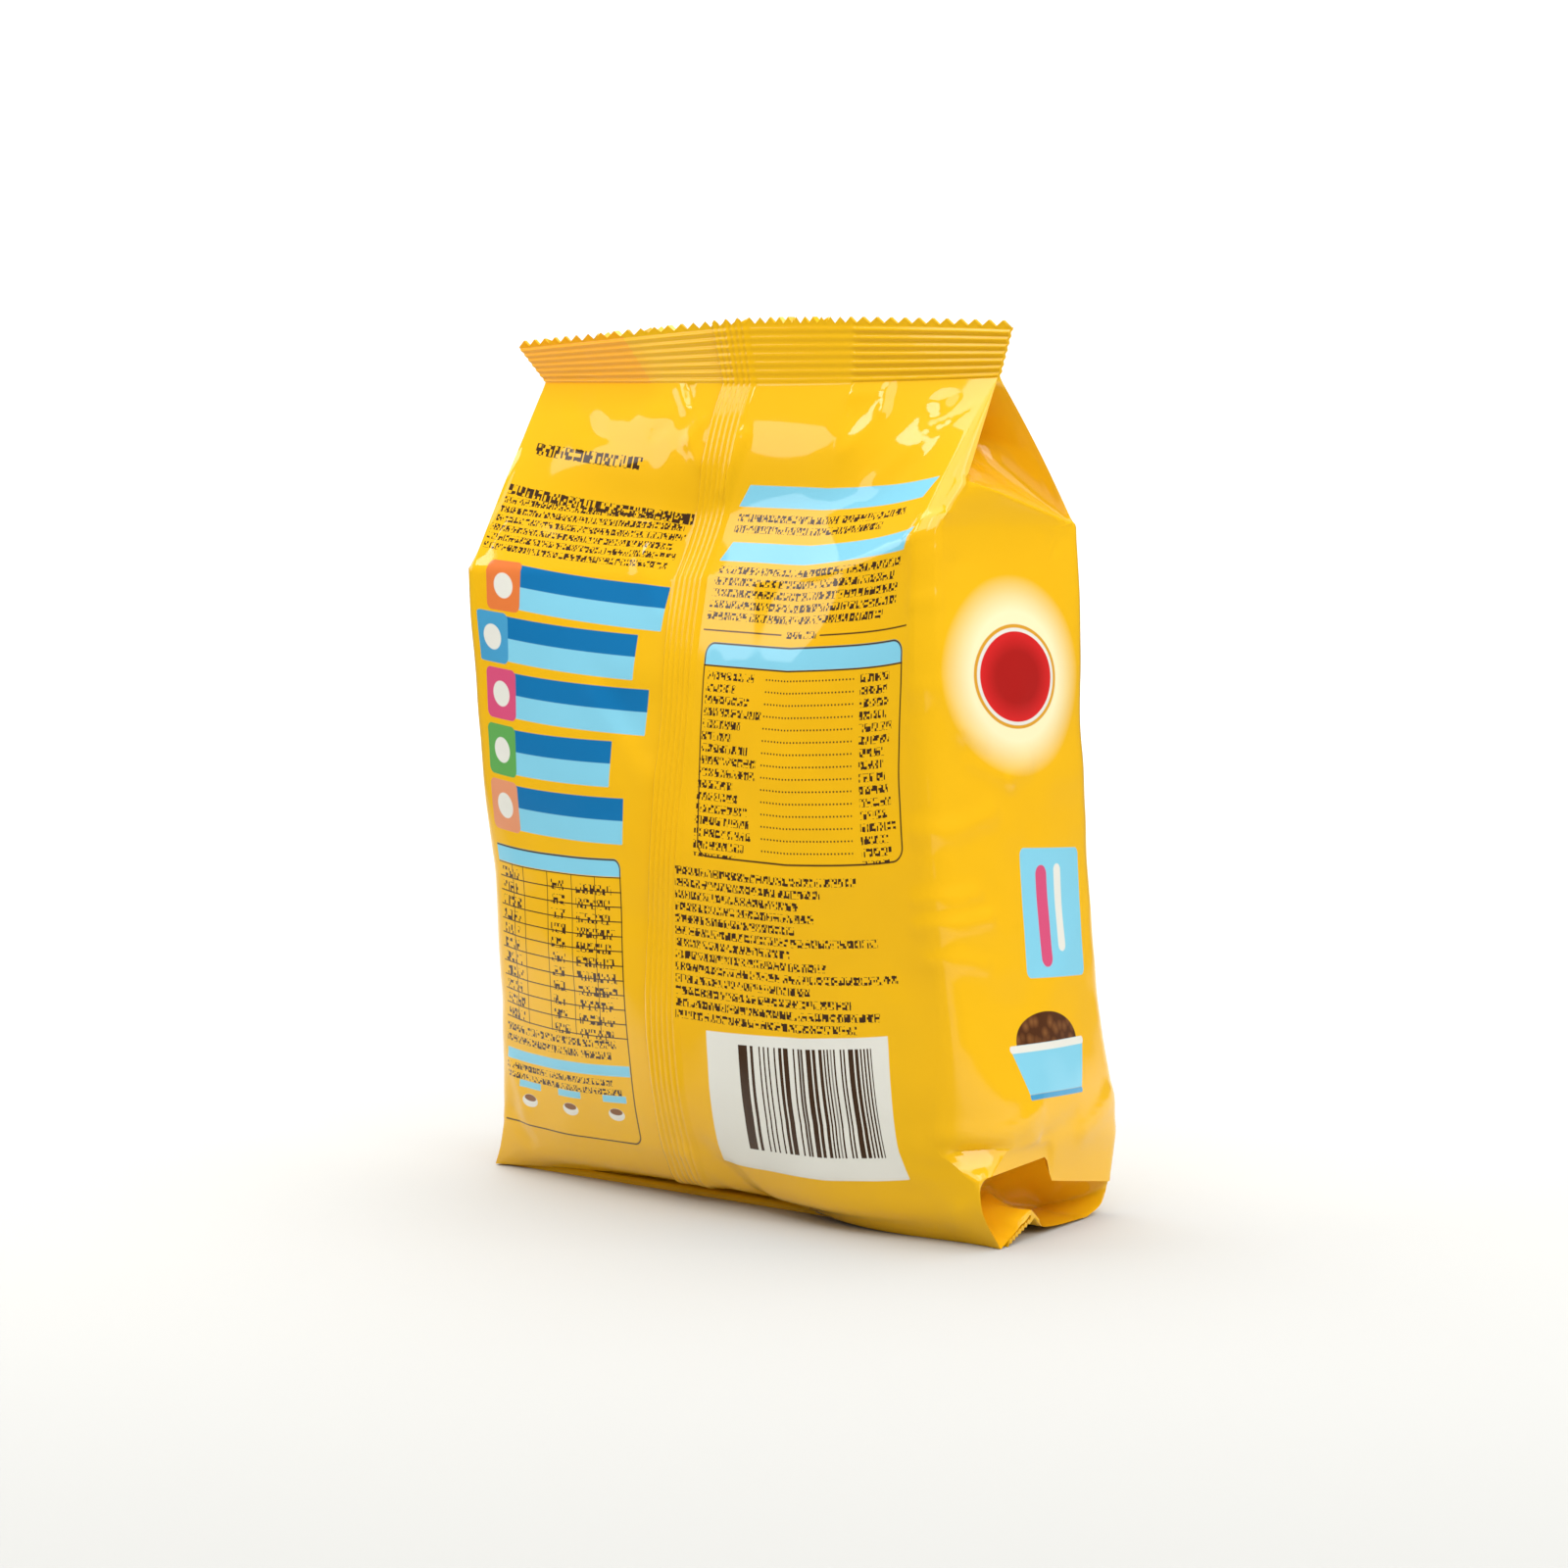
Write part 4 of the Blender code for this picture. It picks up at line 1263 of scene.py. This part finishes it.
def print_barcode(sheet, inks):
    """White label with upright bars of uneven width."""
    nodes = sheet.nodes
    label = sheet.box(inks["white"], 73.2, 157.0, 53.4, 31.6, Lean=-0.06, Slope=-0.03)
    across, down = nodes.parts(label.outputs["Inside"])
    bar = nodes.math("FLOOR", nodes.over(across, 0.46))
    dark = nodes.soft_step(nodes.dice(nodes.vector(bar, 3.0)), 0.5, 0.02)
    area = nodes.times(nodes.between(across, 8.8, 48.6, 0.05),
                       nodes.between(down, 2.4, 26.4, 0.08))
    sheet.lay(nodes.times(dark, area), inks["ink"])


def film_material(name, printing, groups, inks, settings):
    """A film with the print that the function printing lays on it."""
    material, nodes, shader, place, colour = start_material(name, groups, settings)
    sheet = Print(nodes, groups, place, colour)
    printing(sheet, inks)
    nodes.wire(sheet.colour, shader.inputs["Base Color"])
    return material


def print_back_upper_left(sheet, inks):
    ink = inks["ink"]
    # Painted shade: the top seal's left part, which bends away from the light, laid on in darker
    # orange, with a softer painted shade fading onto the gable just under it
    sheet.box(inks["painted seal shade"], -8.0, -3.0, 40.5, 15.2, Lean=0.3)
    fade = sheet.shape(-8.0, 4.0, 44.0, 12.0, Lean=0.3, Edge=4.0, Corner=4.0)
    sheet.lay(sheet.nodes.times(fade.outputs["Fill"], 0.6), inks["painted seal shade"])
    sheet.lines(ink, 5.0, 26.8, 37.0, 4.2, 4.3, weight=0.62, ragged=0.0, Slope=0.08)
    sheet.lines(ink, -2.0, 37.3, 63.0, 3.4, 3.6, weight=0.6, ragged=0.0, Slope=0.085)
    sheet.lines(ink, -2.0, 40.9, 62.0, 13.9, 2.32, ragged=0.05, Slope=0.03)
    print_bars(sheet, inks)


def print_back_upper_right(sheet, inks):
    ink = inks["ink"]
    sheet.box(inks["light blue"], 77.6, 36.7, 61.4, 4.8, Lean=-0.55)
    sheet.lines(ink, 75.4, 42.7, 62.0, 5.2, 2.6, ragged=0.3)
    sheet.box(inks["light blue"], 76.4, 49.7, 63.0, 4.5, Lean=-0.5)
    sheet.lines(ink, 75.2, 55.0, 62.4, 13.0, 2.6, ragged=0.12, Lean=-0.1)
    sheet.box(ink, 73.4, 69.8, 26.0, 0.35)
    sheet.box(ink, 112.0, 70.0, 26.4, 0.35)
    sheet.lines(ink, 101.0, 68.8, 10.0, 2.4, 2.4, ragged=0.0)
    print_table(sheet, inks)


def print_back_lower_right(sheet, inks):
    sheet.lines(inks["ink"], 66.6, 121.4, 68.0, 34.0, 2.62, ragged=0.5, Lean=-0.08)
    print_barcode(sheet, inks)


def print_glow(sheet, inks, x, y, width, height):
    """A soft pale oval with a red medallion on it, ringed in white and gold."""
    nodes = sheet.nodes
    halo = sheet.shape(x - width, y - height, 2.0 * width, 2.0 * height)
    across, down = nodes.parts(halo.outputs["Inside"])
    distance = sheet.round_distance(across, down, width, height / width)
    fade = nodes.minus(1.0, nodes.soft_step(nodes.over(distance, width), 0.82, 0.18))
    sheet.lay(fade, inks["cream"])
    rim = width * 0.6
    squash = height / width * 0.86
    sheet.disc(inks["gold"], x, y, rim, squash)
    sheet.disc(inks["white"], x, y, rim - 1.0, squash)
    sheet.disc(inks["red"], x, y, rim - 2.0, squash)
    sheet.disc(inks["deep red"], x, y, rim - 5.0, squash, edge=2.5)


def print_bowl(sheet, inks, x, y, width):
    """A bowl heaped with round brown biscuits, in plain shapes."""
    nodes = sheet.nodes
    heap = sheet.shape(x - width * 0.4, y - width * 0.22, width * 0.8, width * 0.44)
    across, down = nodes.parts(heap.outputs["Inside"])
    distance = sheet.round_distance(across, down, width * 0.4, 0.55)
    mask = nodes.minus(1.0, nodes.soft_step(distance, width * 0.4, 0.15))
    pebbles = nodes.add("ShaderNodeTexVoronoi")
    pebbles.inputs["Scale"].default_value = 0.42
    nodes.wire(heap.outputs["Inside"], pebbles.inputs["Vector"])
    shade = nodes.soft_step(pebbles.outputs["Distance"], 0.34, 0.3)
    sheet.lay(mask, nodes.blend(shade, inks["brown"], inks["dark brown"]))
    bowl = sheet.shape(x - width * 0.5, y, width, width * 0.36, Corner=2.0)
    across, down = nodes.parts(bowl.outputs["Inside"])
    taper = nodes.minus(width * 0.5, nodes.times(down, 0.35))
    sides = nodes.minus(1.0, nodes.soft_step(
        nodes.size(nodes.minus(across, width * 0.5)), taper, 0.12))
    sheet.lay(nodes.times(bowl.outputs["Fill"], sides), inks["light blue"])
    sheet.box(inks["white"], x - width * 0.5, y, width, 1.6, Corner=0.8)
    sheet.box(inks["mid blue"], x - width * 0.38, y + width * 0.36, width * 0.76, 1.2,
              Corner=0.5)


def print_side(sheet, inks):
    for middle in (PANEL_WIDTH + GUSSET_WIDTH / 2, FILM_ROUND - GUSSET_WIDTH / 2):
        print_glow(sheet, inks, middle, 82.0, 25.0, 21.0)
        sheet.box(inks["light blue"], middle - 3.0, 118.0, 25.0, 28.0, Corner=1.6,
                  Lean=-0.06, Slope=0.04)
        sheet.box(inks["pink"], middle + 2.6, 122.0, 4.4, 22.0, Corner=2.1, Lean=-0.04)
        sheet.box(inks["white"], middle + 10.0, 122.0, 3.0, 19.0, Corner=1.4, Lean=-0.04)
        print_bowl(sheet, inks, middle, 160.0, 30.0)


def print_front(sheet, inks):
    middle = PANEL_WIDTH + GUSSET_WIDTH + PANEL_WIDTH / 2
    print_glow(sheet, inks, middle, 62.0, 52.0, 34.0)
    sheet.box(inks["dark blue"], middle - 42.0, 100.0, 84.0, 9.0, Corner=2.0)
    sheet.box(inks["light blue"], middle - 42.0, 109.0, 84.0, 6.0, Corner=1.0)
    print_bowl(sheet, inks, middle, 146.0, 74.0)


# Films in the order of the skin's material slots
FILMS = (
    ("back upper left film", print_back_upper_left),
    ("back upper right film", print_back_upper_right),
    ("back lower left film", print_feed_chart),
    ("back lower right film", print_back_lower_right),
    ("side film", print_side),
    ("front film", print_front),
)


# Stage

CAMERA_PLACE = (459.3, -634.1, 179.9)
CAMERA_AZIMUTH = 35.7
CAMERA_PITCH = 6.34
SENSOR_WIDTH = 36.0
FOCAL_LENGTH = 81.0

# Half the width of the patch of floor that the bag's gloss mirrors pale, and how far behind the
# bag's middle and to its right that patch starts, in metres; elsewhere glossy rays see a painted
# dark reflection
TABLE_HALF_WIDTH = 0.42
TABLE_FRONT = -0.045
TABLE_RIGHT = 0.06


def plain_material(name, colour, roughness):
    material = bpy.data.materials.new(name)
    material.use_nodes = True
    shader = material.node_tree.nodes["Principled BSDF"]
    shader.inputs["Base Color"].default_value = colour
    shader.inputs["Roughness"].default_value = roughness
    return material


def floor_material(settings):
    """Pale floor with painted shade, darker in front and lighter behind; to the bag's gloss it is
    painted near black except behind and beside the bag.
    """
    material = plain_material("backdrop", settings.floor_colour, 0.9)
    nodes = Nodes(material.node_tree)
    shader = material.node_tree.nodes["Principled BSDF"]
    shader.inputs["Specular IOR Level"].default_value = 0.1
    chart = nodes.add("ShaderNodeTexCoord")
    x, y = nodes.parts(chart.outputs["Object"])
    turn = math.radians(CAMERA_AZIMUTH)
    aside = nodes.plus(nodes.times(x, math.cos(turn)), nodes.times(y, math.sin(turn)))
    depth = nodes.minus(nodes.times(y, math.cos(turn)), nodes.times(x, math.sin(turn)))
    # Painted shade: the floor's colour is darker in front of the bag, where it is less lit, and
    # lighter behind
    shade = nodes.blend(nodes.soft_step(depth, 0.35, 0.75), settings.floor_front_painted_shade,
                        settings.floor_colour)
    mirrored = nodes.more(nodes.soft_step(depth, TABLE_FRONT, 0.025),
                          nodes.soft_step(aside, TABLE_RIGHT, 0.02))
    on_table = nodes.times(nodes.between(aside, -TABLE_HALF_WIDTH, TABLE_HALF_WIDTH, 0.15),
                           mirrored)
    path = nodes.add("ShaderNodeLightPath")
    # Painted dark reflection: outside the pale patch, glossy rays see the floor near black
    painted_dark_reflection = nodes.times(nodes.minus(1.0, on_table), path.outputs["Is Glossy Ray"])
    nodes.wire(nodes.blend(painted_dark_reflection, shade, (0.05, 0.05, 0.05, 1.0)), shader.inputs["Base Color"])
    return material


def add_backdrop(settings):
    """A pale floor that curves up behind the bag into a wall, well away from it."""
    mesh = bmesh.new()
    reach = 3.0
    depth = 1.6
    bend = 0.8
    made = bmesh.ops.create_grid(mesh, x_segments=1, y_segments=1, size=1.0)
    for vert in made["verts"]:
        vert.co.x *= reach
        vert.co.y = -reach if vert.co.y < 0.0 else depth
    far_edge = [edge for edge in mesh.edges if all(vert.co.y > 0.0 for vert in edge.verts)]
    turned = bmesh.ops.spin(mesh, geom=far_edge, cent=(0.0, depth, bend), axis=(1.0, 0.0, 0.0),
                            angle=math.pi / 2, steps=24)
    last = [item for item in turned["geom_last"] if isinstance(item, bmesh.types.BMEdge)]
    up = bmesh.ops.extrude_edge_only(mesh, edges=last)["geom"]
    bmesh.ops.translate(mesh, verts=[v for v in up if isinstance(v, bmesh.types.BMVert)],
                        vec=(0.0, 0.0, 2.0))
    bmesh.ops.rotate(mesh, verts=mesh.verts, cent=(0.0, 0.0, 0.0),
                     matrix=Matrix.Rotation(math.radians(CAMERA_AZIMUTH), 3, "Z"))
    bmesh.ops.recalc_face_normals(mesh, faces=mesh.faces)
    data = bpy.data.meshes.new("backdrop")
    mesh.to_mesh(data)
    mesh.free()
    data.shade_smooth()
    data.materials.append(floor_material(settings))
    backdrop = bpy.data.objects.new("backdrop", data)
    bpy.context.scene.collection.objects.link(backdrop)
    return backdrop


def add_softbox(name, place, aim, width, height, power):
    """A soft rectangular light at a place, facing what it lights, all in metres and watts."""
    data = bpy.data.lights.new(name, "AREA")
    data.shape = "RECTANGLE"
    data.size = width
    data.size_y = height
    data.energy = power
    lamp = bpy.data.objects.new(name, data)
    lamp.location = place
    lamp.rotation_euler = (Vector(aim) - Vector(place)).to_track_quat("-Z", "Y").to_euler()
    bpy.context.scene.collection.objects.link(lamp)
    return lamp


def round_the_bag(turn, distance, height):
    """A place round the bag: turn in degrees from the camera, and to its left when below 0."""
    angle = math.radians(CAMERA_AZIMUTH + turn)
    return Vector((distance * math.sin(angle), -distance * math.cos(angle), height))


# Softboxes: name, turn from the camera and height angle in degrees, distance, width and height in
# metres, and brightness against the key's
SOFTBOXES = (
    ("key softbox", -104.0, 26.5, 1.1, 0.82, 0.36, 1.2),
    ("glint softbox", -79.0, 48.0, 1.2, 0.2, 0.16, 3.2),
    ("overhead softbox", -30.0, 62.0, 1.4, 0.9, 0.9, 1.3),
    ("camera softbox", 20.0, 42.0, 2.4, 1.7, 1.2, 1.5),
    ("side softbox", 60.0, 34.0, 1.3, 1.1, 0.9, 0.95),
)


def add_lights(settings):
    aim = Vector((0.0, 0.0, 0.1))
    for name, turn, rise, distance, width, height, brightness in SOFTBOXES:
        rise = math.radians(rise)
        place = round_the_bag(turn, distance * math.cos(rise), aim.z + distance * math.sin(rise))
        power = math.pi * width * height * brightness * settings.key_brightness
        add_softbox(name, place, aim, width, height, power)
    add_softbox("top softbox", round_the_bag(180.0, 0.7, 2.2), round_the_bag(180.0, 0.9, 0.0),
                3.0, 1.8, settings.top_power)


def add_room(settings):
    """Even light from all round, which the gloss of the film hardly shows."""
    world = bpy.data.worlds.new("studio")
    world.use_nodes = True
    nodes = Nodes(world.node_tree)
    background = world.node_tree.nodes["Background"]
    background.inputs["Color"].default_value = (1.0, 0.995, 0.985, 1.0)
    path = nodes.add("ShaderNodeLightPath")
    lit = nodes.minus(1.0, nodes.times(path.outputs["Is Glossy Ray"],
                                       1.0 - settings.room_in_gloss))
    nodes.wire(nodes.times(lit, settings.room_light), background.inputs["Strength"])
    bpy.context.scene.world = world


def add_camera(settings):
    data = bpy.data.cameras.new("camera")
    data.sensor_width = SENSOR_WIDTH
    data.lens = settings.focal_length
    data.dof.use_dof = False
    camera = bpy.data.objects.new("camera", data)
    camera.location = Vector(CAMERA_PLACE) * MM
    camera.rotation_euler = (math.radians(90.0 - CAMERA_PITCH), 0.0,
                             math.radians(CAMERA_AZIMUTH))
    bpy.context.scene.collection.objects.link(camera)
    bpy.context.scene.camera = camera


# Settings, operators and panel

class PouchSettings(bpy.types.PropertyGroup):
    """Sizes and colours of the pouch."""

    tooth_height: FloatProperty(
        name="Tooth Height", description="Height of the teeth along the top edge",
        default=0.0014, min=0.0, max=0.004, unit="LENGTH")
    seal_rib_scale: FloatProperty(
        name="Seal Ribs", description="Depth of the top seal's ribs, against their usual depth",
        default=1.0, min=0.0, max=2.0, subtype="FACTOR")
    slack: FloatProperty(
        name="Slack", description="Depth of the film's creases, dents and waves, against usual",
        default=1.0, min=0.0, max=1.5, subtype="FACTOR")
    fin_rib_height: FloatProperty(
        name="Fin Rib Height", description="Height of the ribs pressed into the back's fin seal",
        default=0.0003, min=0.0, max=0.001, unit="LENGTH")
    film_colour: FloatVectorProperty(
        name="Film", description="Yellow of the film", subtype="COLOR", size=4,
        min=0.0, max=1.0, default=(0.93, 0.52, 0.008, 1.0))
    film_shade_colour: FloatVectorProperty(
        name="Film Shade", description="Deeper yellow that the film drifts to",
        subtype="COLOR", size=4, min=0.0, max=1.0, default=(0.92, 0.43, 0.004, 1.0))
    dark_blue: FloatVectorProperty(
        name="Dark Blue", description="Printed dark blue", subtype="COLOR", size=4,
        min=0.0, max=1.0, default=(0.006, 0.18, 0.44, 1.0))
    light_blue: FloatVectorProperty(
        name="Light Blue", description="Printed light blue", subtype="COLOR", size=4,
        min=0.0, max=1.0, default=(0.25, 0.66, 0.84, 1.0))
    red: FloatVectorProperty(
        name="Red", description="Printed red of the medallions", subtype="COLOR", size=4,
        min=0.0, max=1.0, default=(0.72, 0.02, 0.02, 1.0))
    ink_colour: FloatVectorProperty(
        name="Ink", description="Brown-black of the small print and rules",
        subtype="COLOR", size=4, min=0.0, max=1.0, default=(0.06, 0.028, 0.012, 1.0))


class StageSettings(bpy.types.PropertyGroup):
    """Floor, lights and camera."""

    floor_colour: FloatVectorProperty(
        name="Floor", description="Colour of the floor behind the bag and of the wall",
        subtype="COLOR", size=4, min=0.0, max=1.0, default=(0.92, 0.92, 0.91, 1.0))
    # painted shade: the floor's darker colour in front of the bag
    floor_front_painted_shade: FloatVectorProperty(
        name="Painted Floor Shade in Front", description="Colour that the floor drifts to before the bag",
        subtype="COLOR", size=4, min=0.0, max=1.0, default=(0.455, 0.455, 0.437, 1.0))
    key_brightness: FloatProperty(
        name="Key Brightness", description="Brightness of the left softbox, which sets the others",
        default=1.84, min=0.0, soft_max=20.0)
    top_power: FloatProperty(
        name="Top Power", description="Power of the softbox over the floor behind the bag",
        default=60.0, min=0.0, soft_max=200.0, unit="POWER")
    room_light: FloatProperty(
        name="Room Light", description="Strength of the even light from all round",
        default=0.33, min=0.0, soft_max=2.0)
    room_in_gloss: FloatProperty(
        name="Room in Gloss", description="Share of the room's light that gloss mirrors",
        default=0.12, min=0.0, max=1.0, subtype="FACTOR")
    focal_length: FloatProperty(
        name="Focal Length", description="Focal length on a 36 mm wide sensor, in millimetres",
        default=FOCAL_LENGTH, min=20.0, max=300.0)


class POUCH_OT_add_film(bpy.types.Operator):
    """Build the filled pouch's printed film skin in place of its plain solid"""

    bl_idname = "pouch.add_film"
    bl_label = "Film Pouch"
    bl_options = {"REGISTER", "UNDO"}

    def execute(self, context):
        settings = context.scene.pouch
        groups = {"box": box_group(), "lines": lines_group(), "film": film_group()}
        mesh = build_skin(settings)
        data = bpy.data.meshes.new("film skin")
        mesh.to_mesh(data)
        mesh.free()
        inks = ink_colours(settings)
        for name, printing in FILMS:
            data.materials.append(film_material(name, printing, groups, inks, settings))
        data.shade_smooth()
        data.set_sharp_from_angle(angle=math.radians(50.0))
        skin = bpy.data.objects.new("film_skin", data)
        context.scene.collection.objects.link(skin)
        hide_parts("pouch")
        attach(skin, "root")
        return {"FINISHED"}


class POUCH_OT_add_stage(bpy.types.Operator):
    """Add the pale floor, the soft studio lights and the camera"""

    bl_idname = "pouch.add_stage"
    bl_label = "Studio"
    bl_options = {"REGISTER", "UNDO"}

    def execute(self, context):
        settings = context.scene.pouch_stage
        add_backdrop(settings)
        add_lights(settings)
        add_room(settings)
        add_camera(settings)
        context.scene.view_settings.view_transform = "Standard"
        return {"FINISHED"}


class POUCH_PT_panel(bpy.types.Panel):
    """Sidebar panel with the pouch's operators, sizes and colours"""

    bl_label = "Film Pouch"
    bl_idname = "POUCH_PT_panel"
    bl_space_type = "VIEW_3D"
    bl_region_type = "UI"
    bl_category = "Pouch"

    def draw(self, context):
        column = self.layout.column()
        column.operator(POUCH_OT_add_film.bl_idname)
        for name in PouchSettings.__annotations__:
            column.prop(context.scene.pouch, name)
        column.separator()
        column.operator(POUCH_OT_add_stage.bl_idname)
        for name in StageSettings.__annotations__:
            column.prop(context.scene.pouch_stage, name)


CLASSES = (PouchSettings, StageSettings, POUCH_OT_add_film, POUCH_OT_add_stage, POUCH_PT_panel)


def register():
    for item in CLASSES:
        bpy.utils.register_class(item)
    bpy.types.Scene.pouch = PointerProperty(type=PouchSettings)
    bpy.types.Scene.pouch_stage = PointerProperty(type=StageSettings)


def unregister():
    del bpy.types.Scene.pouch_stage
    del bpy.types.Scene.pouch
    for item in reversed(CLASSES):
        bpy.utils.unregister_class(item)


def main():
    register()
    bpy.ops.pouch.add_stage()
    bpy.ops.pouch.add_film()


if __name__ == "__main__":
    main()
